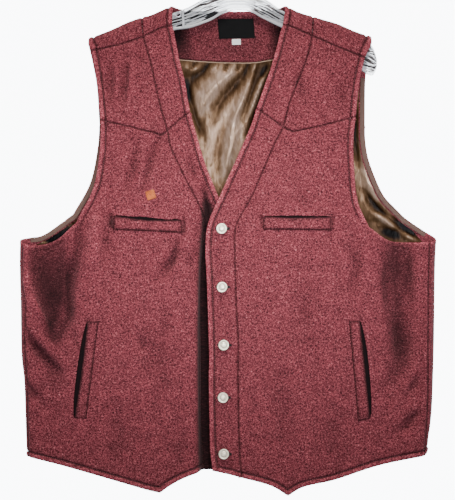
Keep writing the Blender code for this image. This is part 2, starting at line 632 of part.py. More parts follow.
def make_binding(name, edge):
    """Tape along the inside of an armhole's back edge."""
    outer = shifted(edge, inwards, BINDING_INSET)
    inner = shifted(edge, inwards, BINDING_INSET + BINDING_WIDTH)
    strip = flat_grid(outer, inner, run((outer[0], inner[0]), 1), run((outer[-1], inner[-1]), 1))
    make_wall(name, back_layer, strip, -WOOL - LAP_GAP, SATIN, tape, vest)


make_binding("right_armhole_binding", right_back_edge)
make_binding("left_armhole_binding", left_back_edge)

right_lining = join(
    run(((-0.2020, 0.1795), (-0.2015, 0.1950), shifted(right_back_edge, inwards, LINING_INSET)[0]), 2),
    shifted(right_back_edge, inwards, LINING_INSET)[:-1],
    run((shifted(right_back_edge, inwards, LINING_INSET)[-2], (-0.3080, 0.4600)), 1),
    run(((-0.3080, 0.4600), (-0.3060, 0.6200), (-0.2990, 0.7600)), SIDE_ROWS))
left_lining = join(
    run(((0.1860, 0.1795), (0.1860, 0.1950), shifted(left_back_edge, inwards, LINING_INSET)[0]), 2),
    shifted(left_back_edge, inwards, LINING_INSET)[:-1],
    run((shifted(left_back_edge, inwards, LINING_INSET)[-2], (0.2840, 0.4560)), 1),
    run(((0.2840, 0.4560), (0.2825, 0.6200), (0.2735, 0.7560)), SIDE_ROWS))
lining_top = run(
    ((-0.2020, 0.1795), (-0.1000, 0.1768), (-0.0855, 0.1778), (-0.0465, 0.1808),
     (-0.0090, 0.1823), (0.0285, 0.1821), (0.0525, 0.1785), (0.0820, 0.1755),
     (0.1860, 0.1795)), LINING_STEPS)
lining_hem = run(((-0.2990, 0.7600), (MIDDLE, 0.7600), (0.2735, 0.7560)), LINING_STEPS)
lining_grid = flat_grid(lining_top, lining_hem, right_lining, left_lining)
make_wall("back_lining", back_layer, lining_grid, -WOOL - LINING_GAP, SATIN, satin, vest)

# Pocket welts, laid on the fronts: corners from the upper right-hand one, seen from the front

WELT = 0.0018
WELTS = (
    ("left_chest_welt", left_layer, 8, 2,
     ((0.0410, 0.4150), (0.1425, 0.4155), (0.1425, 0.4355), (0.0400, 0.4345))),
    ("right_chest_welt", right_layer, 8, 2,
     ((-0.1830, 0.4140), (-0.0815, 0.4205), (-0.0803, 0.4395), (-0.1838, 0.4345))),
    ("left_side_welt", left_layer, 2, 10,
     ((0.1690, 0.5718), (0.1857, 0.5710), (0.2010, 0.7175), (0.1827, 0.7222))),
    ("right_side_welt", right_layer, 2, 10,
     ((-0.2222, 0.5718), (-0.2055, 0.5718), (-0.2243, 0.7185), (-0.2420, 0.7175))))

for name, layer, across, down, corners in WELTS:
    make_wall(name, layer, four_sided(corners, across, down), LAP_GAP + WELT, WELT, wool, vest)

# Shank buttons on the overlap: a domed cap with a rolled rim, turned

BUTTON_RADIUS = 0.0082
BUTTON_PROFILE = (
    (0.0000, 0.0046), (0.0030, 0.0044), (0.0047, 0.0036), (0.0060, 0.0034),
    (0.0076, 0.0036), (BUTTON_RADIUS, 0.0026), (0.0074, 0.0014), (0.0034, 0.0010),
    (0.0032, 0.0000), (0.0000, 0.0000))
BUTTON_SIDES = 20
BUTTONS = (
    (-0.0215, 0.4329), (-0.0209, 0.5203), (-0.0185, 0.6070), (-0.0195, 0.6855),
    (-0.0183, 0.7699))


def make_buttons():
    """Five buttons that share one mesh, each square to the cloth under it."""
    outline = bmesh.new()
    corners = [outline.verts.new((radius, 0, height)) for radius, height in BUTTON_PROFILE]
    for upper, lower in zip(corners[:-1], corners[1:]):
        outline.edges.new((upper, lower))
    mesh = bpy.data.meshes.new("button")
    outline.to_mesh(mesh)
    outline.free()
    mesh.materials.append(nickel)
    for number, (across, drop) in enumerate(BUTTONS, start=1):
        spot = np.array(across), np.array(drop)
        out = outward(left_layer, *spot)
        button = bpy.data.objects.new("button_%d" % number, mesh)
        button.location = left_layer(*spot) + out * SEAM_GAP
        button.rotation_euler = (math.acos(out[2]), 0, math.atan2(out[0], -out[1]))
        turned = button.modifiers.new("Turned", "SCREW")
        turned.steps = BUTTON_SIDES
        turned.render_steps = BUTTON_SIDES
        turned.use_merge_vertices = True
        turned.merge_threshold = 0.0001
        vest.objects.link(button)


make_buttons()

# The hanger: a flat plastic bow with a wire hook

BAR_HALF = 0.0042
BAR_ROUND = 0.0030
BAR_STATIONS = 30
BAR_CROWDING = 0.45
BAR_CLEARANCE = 0.0017
NECK_OPENING = (-0.0880, 0.0690)
BAR_TOP = (
    (-0.2085, 0.1780), (-0.2065, 0.1640), (-0.1980, 0.1500), (-0.1600, 0.1240),
    (-0.1250, 0.1150), (-0.0950, 0.1080), (-0.0700, 0.0985), (-0.0450, 0.0850),
    (-0.0200, 0.0780), (0.0000, 0.0765), (0.0200, 0.0785), (0.0450, 0.0880),
    (0.0700, 0.1045), (0.0950, 0.1130), (0.1250, 0.1210), (0.1600, 0.1290),
    (0.2000, 0.1530), (0.2100, 0.1690), (0.2125, 0.1800))
BAR_FOOT = (
    (-0.2085, 0.1850), (-0.2065, 0.1960), (-0.1980, 0.2020), (-0.1600, 0.1760),
    (-0.1250, 0.1500), (-0.0960, 0.1350), (-0.0690, 0.1305), (-0.0390, 0.1200),
    (-0.0210, 0.1095), (-0.0090, 0.1050), (0.0015, 0.1035), (0.0210, 0.1055),
    (0.0360, 0.1140), (0.0510, 0.1215), (0.0705, 0.1305), (0.1200, 0.1490),
    (0.1600, 0.1750), (0.2000, 0.2010), (0.2100, 0.1960), (0.2125, 0.1870))
HOOK_WIRE = 0.0019
HOOK_RADIUS = 0.0215
HOOK_NECK = ((0.0105, 0.0401), (0.0035, 0.0466), (0.0000, 0.0540))


def make_bar():
    """The hanger's bow: a box cut into stations that follow its two edges."""
    top, foot = reading(BAR_TOP), reading(BAR_FOOT)
    start, end = BAR_TOP[0][0], BAR_TOP[-1][0]
    block = bmesh.new()
    bmesh.ops.create_cube(block, size=1.0)
    lengths = [edge for edge in block.edges
               if abs(edge.verts[0].co.x - edge.verts[1].co.x) > 0.5]
    bmesh.ops.subdivide_edges(block, edges=lengths, cuts=BAR_STATIONS - 1, use_grid_fill=True)
    for vert in block.verts:
        even = vert.co.x + 0.5
        crowded = 0.5 - 0.5 * math.cos(math.pi * even)
        across = start + (end - start) * (even + BAR_CROWDING * (crowded - even))
        drop = float(top(across) if vert.co.z > 0 else foot(across))
        if vert.co.z > 0 and not NECK_OPENING[0] < across < NECK_OPENING[1]:
            drop = max(drop, float(shoulder_drop(across)) + WOOL + BAR_CLEARANCE)
        vert.co = (across, BAR_HALF * (1 if vert.co.y > 0 else -1), -drop)
    mesh = bpy.data.meshes.new("hanger_bar")
    block.to_mesh(mesh)
    block.free()
    mesh.materials.append(clear_plastic)
    bar = bpy.data.objects.new("hanger_bar", mesh)
    rounding = bar.modifiers.new("Rounded edges", "BEVEL")
    rounding.width = BAR_ROUND
    rounding.segments = 2
    rounding.limit_method = "ANGLE"
    rounding.angle_limit = math.radians(60)
    vest.objects.link(bar)


def make_hook():
    """The hook: a bend over the rail that comes back to a straight stem."""
    centre = HOOK_WIRE - HOOK_RADIUS
    bend = [(HOOK_RADIUS * math.cos(turn), centre + HOOK_RADIUS * math.sin(turn))
            for turn in np.radians(np.arange(205, -41, -15))]
    shank = [(across, -drop) for across, drop in HOOK_NECK]
    shank.append((0.0, -float(reading(BAR_TOP)(0.0)) + SEAM_GAP))
    path = bpy.data.curves.new("hanger_hook", "CURVE")
    path.dimensions = "3D"
    path.bevel_depth = HOOK_WIRE
    path.bevel_resolution = 2
    path.use_fill_caps = True
    line = path.splines.new("POLY")
    line.points.add(len(bend + shank) - 1)
    for point, (across, height) in zip(line.points, bend + shank):
        point.co = (across, 0, height, 1)
    path.materials.append(nickel)
    vest.objects.link(bpy.data.objects.new("hanger_hook", path))


make_bar()
make_hook()
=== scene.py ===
"""The looks of a man's western vest in felted wool, on a clear plastic hanger.

Metres, +Z up, the front towards -Y; sides are the wearer's, the left at +X. The
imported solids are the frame. Each piece of cloth is drawn flat, as pairs of
(across, drop), between the same edges as its solid, and set on the same layers
with a finer mesh, turned edges, sewn seams and the smaller creases.
"""

import json
import math

import bmesh
import bpy
import numpy as np
from mathutils import Euler, Matrix, Vector
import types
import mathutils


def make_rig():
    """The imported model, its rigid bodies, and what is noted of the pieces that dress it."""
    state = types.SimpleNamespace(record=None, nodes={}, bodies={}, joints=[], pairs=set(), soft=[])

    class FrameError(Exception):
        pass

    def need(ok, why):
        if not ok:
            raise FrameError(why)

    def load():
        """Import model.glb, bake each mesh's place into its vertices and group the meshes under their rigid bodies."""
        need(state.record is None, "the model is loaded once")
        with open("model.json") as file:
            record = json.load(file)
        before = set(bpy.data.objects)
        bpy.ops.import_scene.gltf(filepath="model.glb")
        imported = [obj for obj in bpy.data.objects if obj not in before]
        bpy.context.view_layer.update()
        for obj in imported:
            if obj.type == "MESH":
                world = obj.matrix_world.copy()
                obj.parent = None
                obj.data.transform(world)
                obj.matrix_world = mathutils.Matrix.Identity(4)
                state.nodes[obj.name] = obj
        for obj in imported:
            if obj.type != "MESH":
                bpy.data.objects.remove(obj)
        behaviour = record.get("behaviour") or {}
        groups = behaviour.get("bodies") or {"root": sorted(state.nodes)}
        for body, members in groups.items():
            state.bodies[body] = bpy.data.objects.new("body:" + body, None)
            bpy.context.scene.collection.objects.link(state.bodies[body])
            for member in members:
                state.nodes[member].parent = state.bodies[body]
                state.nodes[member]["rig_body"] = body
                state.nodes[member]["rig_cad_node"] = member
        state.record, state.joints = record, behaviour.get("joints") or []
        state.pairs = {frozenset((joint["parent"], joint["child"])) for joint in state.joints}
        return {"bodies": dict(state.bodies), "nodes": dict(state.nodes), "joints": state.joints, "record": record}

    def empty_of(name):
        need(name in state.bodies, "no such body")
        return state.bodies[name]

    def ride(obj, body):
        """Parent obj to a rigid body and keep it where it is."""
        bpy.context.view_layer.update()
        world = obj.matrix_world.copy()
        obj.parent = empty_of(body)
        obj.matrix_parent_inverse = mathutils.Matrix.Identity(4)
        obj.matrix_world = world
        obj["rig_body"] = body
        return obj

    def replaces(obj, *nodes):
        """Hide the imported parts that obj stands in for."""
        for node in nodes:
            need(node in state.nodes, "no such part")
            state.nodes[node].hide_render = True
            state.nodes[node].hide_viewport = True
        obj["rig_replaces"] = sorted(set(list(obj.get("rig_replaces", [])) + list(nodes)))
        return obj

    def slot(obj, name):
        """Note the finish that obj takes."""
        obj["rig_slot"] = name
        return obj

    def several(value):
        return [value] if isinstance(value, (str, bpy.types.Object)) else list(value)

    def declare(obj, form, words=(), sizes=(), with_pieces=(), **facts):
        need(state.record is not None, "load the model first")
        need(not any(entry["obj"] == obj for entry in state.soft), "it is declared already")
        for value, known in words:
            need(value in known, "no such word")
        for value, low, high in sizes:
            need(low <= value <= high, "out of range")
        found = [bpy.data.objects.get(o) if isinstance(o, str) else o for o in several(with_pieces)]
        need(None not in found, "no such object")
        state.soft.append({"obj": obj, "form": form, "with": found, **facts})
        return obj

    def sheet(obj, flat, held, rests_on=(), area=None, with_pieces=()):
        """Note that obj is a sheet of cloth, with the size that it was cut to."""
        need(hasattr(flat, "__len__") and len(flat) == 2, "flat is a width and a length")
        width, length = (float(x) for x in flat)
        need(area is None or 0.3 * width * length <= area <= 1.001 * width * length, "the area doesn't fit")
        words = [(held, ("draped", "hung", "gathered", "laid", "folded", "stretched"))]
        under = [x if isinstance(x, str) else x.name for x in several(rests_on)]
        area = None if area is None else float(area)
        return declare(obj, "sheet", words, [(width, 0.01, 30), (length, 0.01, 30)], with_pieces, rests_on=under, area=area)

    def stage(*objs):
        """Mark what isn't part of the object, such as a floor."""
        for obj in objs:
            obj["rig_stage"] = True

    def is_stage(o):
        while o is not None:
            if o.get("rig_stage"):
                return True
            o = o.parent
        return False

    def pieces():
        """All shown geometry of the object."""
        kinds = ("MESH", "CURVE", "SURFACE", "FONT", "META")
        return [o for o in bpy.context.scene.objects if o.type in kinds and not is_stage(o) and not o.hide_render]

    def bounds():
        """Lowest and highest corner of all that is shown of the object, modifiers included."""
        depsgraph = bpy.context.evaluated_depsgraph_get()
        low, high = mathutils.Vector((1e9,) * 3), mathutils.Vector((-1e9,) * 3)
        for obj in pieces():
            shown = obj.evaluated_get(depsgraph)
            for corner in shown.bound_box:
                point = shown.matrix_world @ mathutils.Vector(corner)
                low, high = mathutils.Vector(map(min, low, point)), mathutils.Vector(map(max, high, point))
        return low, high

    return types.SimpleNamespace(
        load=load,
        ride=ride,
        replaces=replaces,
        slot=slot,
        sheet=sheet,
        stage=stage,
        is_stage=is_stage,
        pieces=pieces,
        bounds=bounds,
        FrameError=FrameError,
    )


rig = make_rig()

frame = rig.load()
cad_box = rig.bounds()

# The back, cut as a panel, a yoke and a neck band. It is felted wool 2 mm thick,
# wraps round both sides to the side seams, and passes over the hanger to the
# forward shoulder seams. Its armhole, neck and hem edges are turned and stitched.

WOOL = 0.0020
SEAM_GAP = 0.0003
CREST_RADIUS = 0.010
SIDE_RADIUS = 0.014
MIDDLE = -0.0105
SLOPE_STEP = 0.0004
DETAIL = 6
CLOTH_PITCH = 0.0036
EDGE_RINGS = (0.0003, 0.0008, 0.0016, 0.0026, 0.0040, 0.0054, 0.0064, 0.0072, 0.0080, 0.0088,
              0.0097, 0.0112)
STITCH_INSET = 0.0080
STITCH_DEPTH = 0.0015
# How deep a crease is where the shade painted into its colour counts as one
HOLLOW_DEPTH = 0.0056
LAP_GAP = 0.0009
ALLOWANCE_WALL = 0.0006
ALLOWANCE = 0.0050

# Shoulder line over the hanger, across and drop
SHOULDER_LINE = (
    (-0.2240, 0.1470), (-0.1890, 0.1335), (-0.1590, 0.1200), (-0.1290, 0.1110),
    (-0.1140, 0.1045), (-0.0980, 0.0985), (-0.0780, 0.1000), (0.0000, 0.1005),
    (0.0560, 0.0995), (0.0750, 0.0980), (0.0960, 0.1070), (0.1275, 0.1165),
    (0.1530, 0.1240), (0.1785, 0.1350), (0.2060, 0.1445))
# Side folds, drop and across
LEFT_FOLD = (
    (0.445, 0.3025), (0.490, 0.3002), (0.610, 0.2985), (0.690, 0.2961),
    (0.725, 0.2935), (0.750, 0.2900), (0.780, 0.2885))
RIGHT_FOLD = (
    (0.445, -0.3255), (0.492, -0.3260), (0.545, -0.3246), (0.620, -0.3234),
    (0.665, -0.3190), (0.740, -0.3165), (0.780, -0.3148))
# How far the layers stand off a flat vest: drop, front, back
SWELL = (
    (0.110, 0.000, 0.000), (0.200, 0.008, 0.007), (0.320, 0.014, 0.012),
    (0.450, 0.016, 0.011), (0.620, 0.015, 0.008), (0.840, 0.013, 0.007))
# Half of the width that swells, drop and width
SWELL_WIDTH = (
    (0.100, 0.215), (0.270, 0.212), (0.360, 0.230), (0.420, 0.275),
    (0.460, 0.298), (0.840, 0.295))
# The back's folds: start across, start drop, end across, end drop, half width, height
BACK_FOLDS = (
    (0.246, 0.470, 0.238, 0.660, 0.024, -0.0040),
    (-0.262, 0.470, -0.250, 0.640, 0.024, -0.0045),
    (-0.110, 0.360, -0.122, 0.560, 0.026, -0.0030),
    (0.095, 0.370, 0.104, 0.600, 0.026, -0.0030),
    (-0.010, 0.600, -0.006, 0.780, 0.030, -0.0025))
# The back's small creases: points across and drop, half width, height, lean
BACK_CREASES = (
    (((-0.060, 0.200), (-0.064, 0.245), (-0.060, 0.285)), 0.012, -0.0020, 0.2),
    (((0.045, 0.195), (0.052, 0.235), (0.050, 0.280)), 0.012, -0.0018, -0.2),
    (((-0.150, 0.210), (-0.158, 0.250), (-0.165, 0.275)), 0.010, -0.0020, 0.0),
    (((0.135, 0.200), (0.145, 0.240), (0.150, 0.275)), 0.010, -0.0022, 0.0),
    (((-0.195, 0.330), (-0.180, 0.380), (-0.185, 0.440)), 0.014, -0.0022, 0.3),
    (((0.185, 0.320), (0.172, 0.370), (0.176, 0.430)), 0.014, -0.0024, -0.3),
    (((-0.285, 0.520), (-0.262, 0.552), (-0.228, 0.566)), 0.012, 0.0020, 0.3),
    (((0.270, 0.520), (0.244, 0.548), (0.214, 0.560)), 0.012, 0.0020, 0.0),
    (((-0.040, 0.360), (-0.034, 0.430), (-0.042, 0.500)), 0.016, -0.0016, 0.0),
    (((0.024, 0.470), (0.036, 0.540), (0.030, 0.600)), 0.016, 0.0014, 0.0),
    (((-0.290, 0.640), (-0.262, 0.676), (-0.246, 0.720)), 0.012, -0.0020, 0.3),
    (((0.268, 0.650), (0.246, 0.690), (0.236, 0.730)), 0.012, -0.0018, 0.0),
    (((-0.150, 0.640), (-0.140, 0.700), (-0.152, 0.765)), 0.018, -0.0020, 0.0),
    (((0.120, 0.650), (0.130, 0.700), (0.120, 0.760)), 0.018, -0.0018, 0.0))


def curve_through(points):
    """A dense smooth curve through a few points."""
    points = np.array(points, float)
    if len(points) == 2:
        return points
    before = np.vstack((2 * points[0] - points[1], points[:-1]))
    after = np.vstack((points[1:], 2 * points[-1] - points[-2]))
    slope = (after - before) / 2
    share = np.linspace(0, 1, 25)[:-1, None]
    spans = [
        start * (1 + 2 * share) * (1 - share) ** 2 + lean * share * (1 - share) ** 2
        + end * share ** 2 * (3 - 2 * share) + turn * share ** 2 * (share - 1)
        for start, end, lean, turn in zip(points[:-1], points[1:], slope[:-1], slope[1:])]
    return np.vstack(spans + [points[-1:]])


def run(points, steps):
    """A smooth curve through points, cut finely into steps of equal length."""
    dense = curve_through(points)
    length = np.append(0, np.cumsum(np.hypot(*np.diff(dense, axis=0).T)))
    stops = np.linspace(0, length[-1], steps * DETAIL + 1)
    return np.column_stack([np.interp(stops, length, column) for column in dense.T])


def join(*runs):
    """One edge made of runs that meet end to end."""
    return np.vstack([runs[0]] + [piece[1:] for piece in runs[1:]])


def reading(table, column=1):
    """A function that reads a smooth curve through a table's first and another column."""
    table = np.array(table, float)
    dense = curve_through(table[:, [0, column]])
    return lambda value: np.interp(value, dense[:, 0], dense[:, 1])


def shifted(edge, towards, distance):
    """An edge moved sideways by a distance, to the side where another edge lies."""
    along = np.gradient(edge, axis=0)
    along /= np.hypot(*along.T)[:, None]
    across = np.column_stack((-along[:, 1], along[:, 0]))
    side = np.sign(np.sum(across * (towards - edge), axis=1))
    return edge + across * side[:, None] * distance


def patch(start, end, first, last, seams=()):
    """Rows of points between four edges: start to end across, first to last down.

    The edges named in seams are drawn in by half of the gap between pieces.
    """
    across = np.linspace(0, 1, len(start))[None, :, None]
    down = np.linspace(0, 1, len(first))[:, None, None]
    corners = ((1 - down) * ((1 - across) * start[0] + across * start[-1])
               + down * ((1 - across) * end[0] + across * end[-1]))
    grid = ((1 - down) * start[None] + down * end[None]
            + (1 - across) * first[:, None] + across * last[:, None] - corners)
    half = SEAM_GAP / 2
    inner = grid.copy()
    if "start" in seams:
        grid[0] += shifted(inner[0], inner[1], half) - inner[0]
    if "end" in seams:
        grid[-1] += shifted(inner[-1], inner[-2], half) - inner[-1]
    if "first" in seams:
        grid[:, 0] += shifted(inner[:, 0], inner[:, 1], half) - inner[:, 0]
    if "last" in seams:
        grid[:, -1] += shifted(inner[:, -1], inner[:, -2], half) - inner[:, -1]
    return grid


# The most of a line's length that the rings at one end take up
RING_SHARE = 0.45


def respaced(lines, count, rings):
    """Each line cut again: rings at real distances from the ends named, even steps between."""
    lengths = np.hypot(*np.moveaxis(np.diff(lines, axis=1), -1, 0)).cumsum(axis=1)
    count = count or max(2, round(lengths[:, -1].max() / CLOTH_PITCH))
    made = []
    for line, reached in zip(lines, lengths):
        reached = np.append(0, reached)
        whole = reached[-1]
        near = np.array(EDGE_RINGS if "near" in rings else ())
        far = np.array(EDGE_RINGS if "far" in rings else ())
        share = min(1.0, RING_SHARE * whole / EDGE_RINGS[-1])
        begin = near[-1] * share if len(near) else 0.0
        finish = whole - (far[-1] * share if len(far) else 0.0)
        stops = np.concatenate((
            [0] * bool(len(near)), near[:-1] * share, np.linspace(begin, finish, count + 1),
            (whole - far * share)[:-1][::-1], [whole] * bool(len(far))))
        made.append(np.column_stack([np.interp(stops, reached, column) for column in line.T]))
    return np.array(made)


def cloth_grid(start, end, first, last, seams=(), rings="start end first last", steps=(0, 0)):
    """A fine flat grid between four edges, finest along the edges named in rings.

    Its even steps across and down are counted from the cloth's size where they aren't given.
    """
    grid = patch(start, end, first, last, seams)
    across = ("near " if "first" in rings else "") + ("far" if "last" in rings else "")
    down = ("near " if "start" in rings else "") + ("far" if "end" in rings else "")
    grid = respaced(grid, steps[0], across)
    return respaced(grid.transpose(1, 0, 2), steps[1], down).transpose(1, 0, 2)


def strip_grid(start, end, ends, rings="", steps=(0, 0)):
    """A flat grid between two edges, whose ends are joined by straight lines."""
    return cloth_grid(start, end, run((start[0], end[0]), ends), run((start[-1], end[-1]), ends),
                      (), rings, steps)


def beside(*grids):
    """Grids side by side that share their border columns."""
    return np.hstack([grids[0]] + [grid[:, 1:] for grid in grids[1:]])


def stepped_grid(upper, lower, skipped=0):
    """One grid from an upper one and a wider lower one, which starts with its last row.

    The upper grid starts some columns in, and what lies beside it stays empty.
    """
    rows = len(upper) - 1
    whole = np.full((rows + len(lower), lower.shape[1], 2), np.nan)
    whole[:rows, skipped:skipped + upper.shape[1]] = upper[:-1]
    whole[rows:] = lower
    return whole


shoulder_drop = reading(SHOULDER_LINE)
left_fold = reading(LEFT_FOLD)
right_fold = reading(RIGHT_FOLD)
front_swell = reading(SWELL, 1)
back_swell = reading(SWELL, 2)
swell_width = reading(SWELL_WIDTH)
# The drops between which the vest thickens from its crest to its sides, and how far
# below the shoulder its layers stand off fully
THICKENING = (0.22, 0.44)
SWELL_START = 0.10
# How far a fold runs on past its ends, in widths, and where folds fade out beside the
# side folds and below the shoulders
FOLD_TAIL = 2.2
SIDE_FADE = (0.4 * SIDE_RADIUS, 2.2 * SIDE_RADIUS)
SHOULDER_FADE = (0.030, 0.070)


def rise(value, start, end):
    """Goes smoothly from 0 at start to 1 at end."""
    share = np.clip((value - start) / (end - start), 0, 1)
    return share * share * (3 - 2 * share)


def radius_at(drop):
    """Half of the vest's thickness where it is flat."""
    return CREST_RADIUS + (SIDE_RADIUS - CREST_RADIUS) * rise(drop, *THICKENING)


def swell_at(across, drop, height):
    """How far a layer stands off, from its middle to nothing at its edges and shoulders."""
    share = np.clip(np.abs(across - MIDDLE) / swell_width(drop), 0, 1)
    below = drop - shoulder_drop(across) - CREST_RADIUS
    return height(drop) * (1 - share ** 2) ** 1.5 * rise(below, 0.0, SWELL_START)


def folds_at(across, drop, folds):
    """Height of the folds, fading out at the side folds and the shoulders."""
    total = np.zeros(np.shape(across))
    for start_x, start_drop, end_x, end_drop, width, height in folds:
        run_x, run_drop = end_x - start_x, end_drop - start_drop
        length = math.hypot(run_x, run_drop)
        along = ((across - start_x) * run_x + (drop - start_drop) * run_drop) / length
        aside = ((across - start_x) * run_drop - (drop - start_drop) * run_x) / length
        past = np.maximum(np.maximum(-along, along - length), 0)
        total += height * np.exp(-(aside / width) ** 2 - (past / (FOLD_TAIL * width)) ** 2)
    edge = np.minimum(left_fold(drop) - across, across - right_fold(drop))
    shoulder = drop - shoulder_drop(across)
    return total * rise(edge, *SIDE_FADE) * rise(shoulder, *SHOULDER_FADE)


def line_distance(line, across, drop):
    """Distance to a flat line, the share of its length there, and the side, 1 or -1."""
    spans = np.diff(line, axis=0)
    lengths = np.hypot(*spans.T)
    reached = np.append(0, np.cumsum(lengths))
    best = np.full(np.shape(across), np.inf)
    share = np.zeros(np.shape(across))
    side = np.ones(np.shape(across))
    for (x, y), (run_x, run_y), length, before in zip(line[:-1], spans, lengths, reached):
        along = ((across - x) * run_x + (drop - y) * run_y) / length ** 2
        along = np.clip(along, 0, 1)
        gap_x, gap_y = across - x - along * run_x, drop - y - along * run_y
        gap = np.hypot(gap_x, gap_y)
        nearer = gap < best
        best = np.where(nearer, gap, best)
        share = np.where(nearer, (before + along * length) / reached[-1], share)
        side = np.where(nearer, np.sign(run_x * gap_y - run_y * gap_x), side)
    return best, share, side


def creases_at(across, drop, creases):
    """Height of the small creases, each fading to its ends along a smooth line.

    A crease with a lean is steeper on one side. Its ends keep a third of its height.
    """
    total = np.zeros(np.shape(across))
    for points, width, height, lean in creases:
        line = curve_through(points)[::5]
        reach = 3 * width * (1 + abs(lean))
        close = ((across > line[:, 0].min() - reach) & (across < line[:, 0].max() + reach)
                 & (drop > line[:, 1].min() - reach) & (drop < line[:, 1].max() + reach))
        if close.any():
            gap, share, side = line_distance(line, across[close], drop[close])
            taper = np.sin(math.pi * (0.07 + 0.86 * share)) ** 0.8
            total[close] += height * taper * np.exp(-(gap / (width * (1 + lean * side))) ** 2)
    return total


def roll_sides(flat, drop):
    """Rolls cloth round the side folds: place across, and the cosine of its turn."""
    high = left_fold(drop) - SIDE_RADIUS
    low = right_fold(drop) + SIDE_RADIUS
    over = np.maximum(flat - high, 0) / SIDE_RADIUS
    under = np.maximum(low - flat, 0) / SIDE_RADIUS
    across = np.clip(flat, low, high) + SIDE_RADIUS * (np.sin(over) - np.sin(under))
    return across, np.cos(over + under)


def back_layer(flat, drop):
    """Outer face of the back, also where it passes over the shoulders to the front."""
    across, cosine = roll_sides(flat, drop)
    brow = shoulder_drop(across) + CREST_RADIUS
    turn = np.clip((brow - drop) / CREST_RADIUS, 0, math.pi)
    beyond = np.maximum(brow - math.pi * CREST_RADIUS - drop, 0)
    level = np.maximum(drop, brow) - CREST_RADIUS * np.sin(turn) + beyond
    behind = swell_at(across, drop, back_swell) + folds_at(across, drop, BACK_FOLDS)
    before = swell_at(across, level, front_swell)
    depth = (radius_at(drop) * cosine * np.cos(turn) + np.where(turn > 0, 0, behind)
             - np.where(beyond > 0, before, 0))
    return np.stack((across, depth, -level), axis=-1)


def outward(layer, flat, drop):
    """Unit vectors out of a layer, away from the body."""
    along = layer(flat + SLOPE_STEP, drop) - layer(flat - SLOPE_STEP, drop)
    down = layer(flat, drop + SLOPE_STEP) - layer(flat, drop - SLOPE_STEP)
    out = np.cross(along, down)
    out /= np.linalg.norm(out, axis=-1, keepdims=True)
    return out if layer is back_layer else -out


# A turned edge: the part of the thickness that its round corner takes up, its roll's
# height, place and width, and the width of the groove that the stitches pull in
CORNER = 0.75
ROLL = 0.0009
ROLL_INSET = 0.0042
ROLL_WIDTH = 0.0026
GROOVE_WIDTH = 0.0015
# A pressed seam: how far the cloth rises beside it and sinks at it, how wide, and the
# width of the painted shade along its groove
SEAM_RISE = 0.0004
SEAM_RISE_WIDTH = 0.0022
SEAM_SINK = 0.0012
SEAM_SINK_WIDTH = 0.0014
SEAM_GROOVE = 0.0012
# The armholes' stitching fades by this share in the pits, between these drops
PIT_FADE = 0.85
PIT_DROPS = (0.395, 0.440)
# How far in from an edge the colour is paled, partly worn and partly a painted highlight on its roll, and how much
# farther on a stitched one
RUB_AND_HIGHLIGHT = 0.0025
STITCHED_RUB_AND_HIGHLIGHT = 0.0037
# How much shade is painted into the cloth's colour in its hollows, and highlight on its ridges:
# the share of the broad folds that counts, the weight of a groove, the lowest and highest
# value, and the share left on the hidden face
FOLD_SHADE = 0.13
GROOVE_SHADE = 1.30
HOLLOW_LIMITS = (-0.8, 1.6)
HIDDEN_SHADE = 0.2
# How far a piece that is shown from within may rise towards the back
CREASE_LIMIT = 0.6 * LAP_GAP
# Points nearer than this are one point, and an edge that turns further is sharp
WELD = 0.00002
SHARP = math.radians(50)


def turned_edge(gap, thickness, stitched):
    """A turned edge, topstitched or not: how far the face rises, how far both faces are
    tucked in, and how deep in the stitched groove, from 0 to 1."""
    near = 1 - np.clip(gap / (CORNER * thickness), 0, 1)
    tuck = thickness / 2 * (1 - np.sqrt(1 - near ** 2))
    roll = ROLL * stitched * np.exp(-((gap - ROLL_INSET) / ROLL_WIDTH) ** 2)
    groove = stitched * np.exp(-((gap - STITCH_INSET) / GROOVE_WIDTH) ** 2)
    return roll - STITCH_DEPTH * groove - tuck, tuck, groove


def sewn_edge(gap):
    """A pressed seam: how far the outer face rises beside the seam line."""
    return (SEAM_RISE * np.exp(-((gap - ROLL_INSET) / SEAM_RISE_WIDTH) ** 2)
            - SEAM_SINK * np.exp(-(gap / SEAM_SINK_WIDTH) ** 2))


def edge_gap(lines, flat, drop):
    """Distance to the nearest of some flat lines."""
    return np.min([line_distance(line[::2], flat, drop)[0] for line in lines], axis=0)


def edges_at(flat, drop, thickness, turned, armhole, sewn, pressed):
    """What its edges do to a piece: how far its face rises and its corners are tucked in,
    how far it is paled as worn and as a painted highlight, and how deep in a groove, which is also painted as shade."""
    lift, tuck, wear, groove = np.zeros((4, *flat.shape))
    fading = 1 - PIT_FADE * rise(drop, *PIT_DROPS)
    for lines, stitched in ((turned, 1.0), (armhole, fading)):
        if lines:
            gap = edge_gap(lines, flat, drop)
            raised, tucked, stitching = turned_edge(gap, thickness, stitched)
            lift = lift + raised
            tuck = np.maximum(tuck, tucked)
            wear = np.maximum(wear, np.exp(-(gap / (RUB_AND_HIGHLIGHT + STITCHED_RUB_AND_HIGHLIGHT * stitched)) ** 4))
            groove = groove + stitching
    if sewn:
        gap = edge_gap(sewn, flat, drop)
        lift = lift + sewn_edge(gap)
        groove = groove + np.exp(-(gap / pressed) ** 2)
    return lift, tuck, wear, groove


def place_in_grid(vert, rows, columns):
    """The row and column of a vertex in a grid one unit wide."""
    return round((vert.co.y + 0.5) * rows), round((vert.co.x + 0.5) * columns)


def flat_area(grid):
    """Area of a flat grid."""
    one, two = grid[1:, 1:] - grid[:-1, :-1], grid[1:, :-1] - grid[:-1, 1:]
    return float(np.nansum(np.abs(one[..., 0] * two[..., 1] - one[..., 1] * two[..., 0])) / 2)


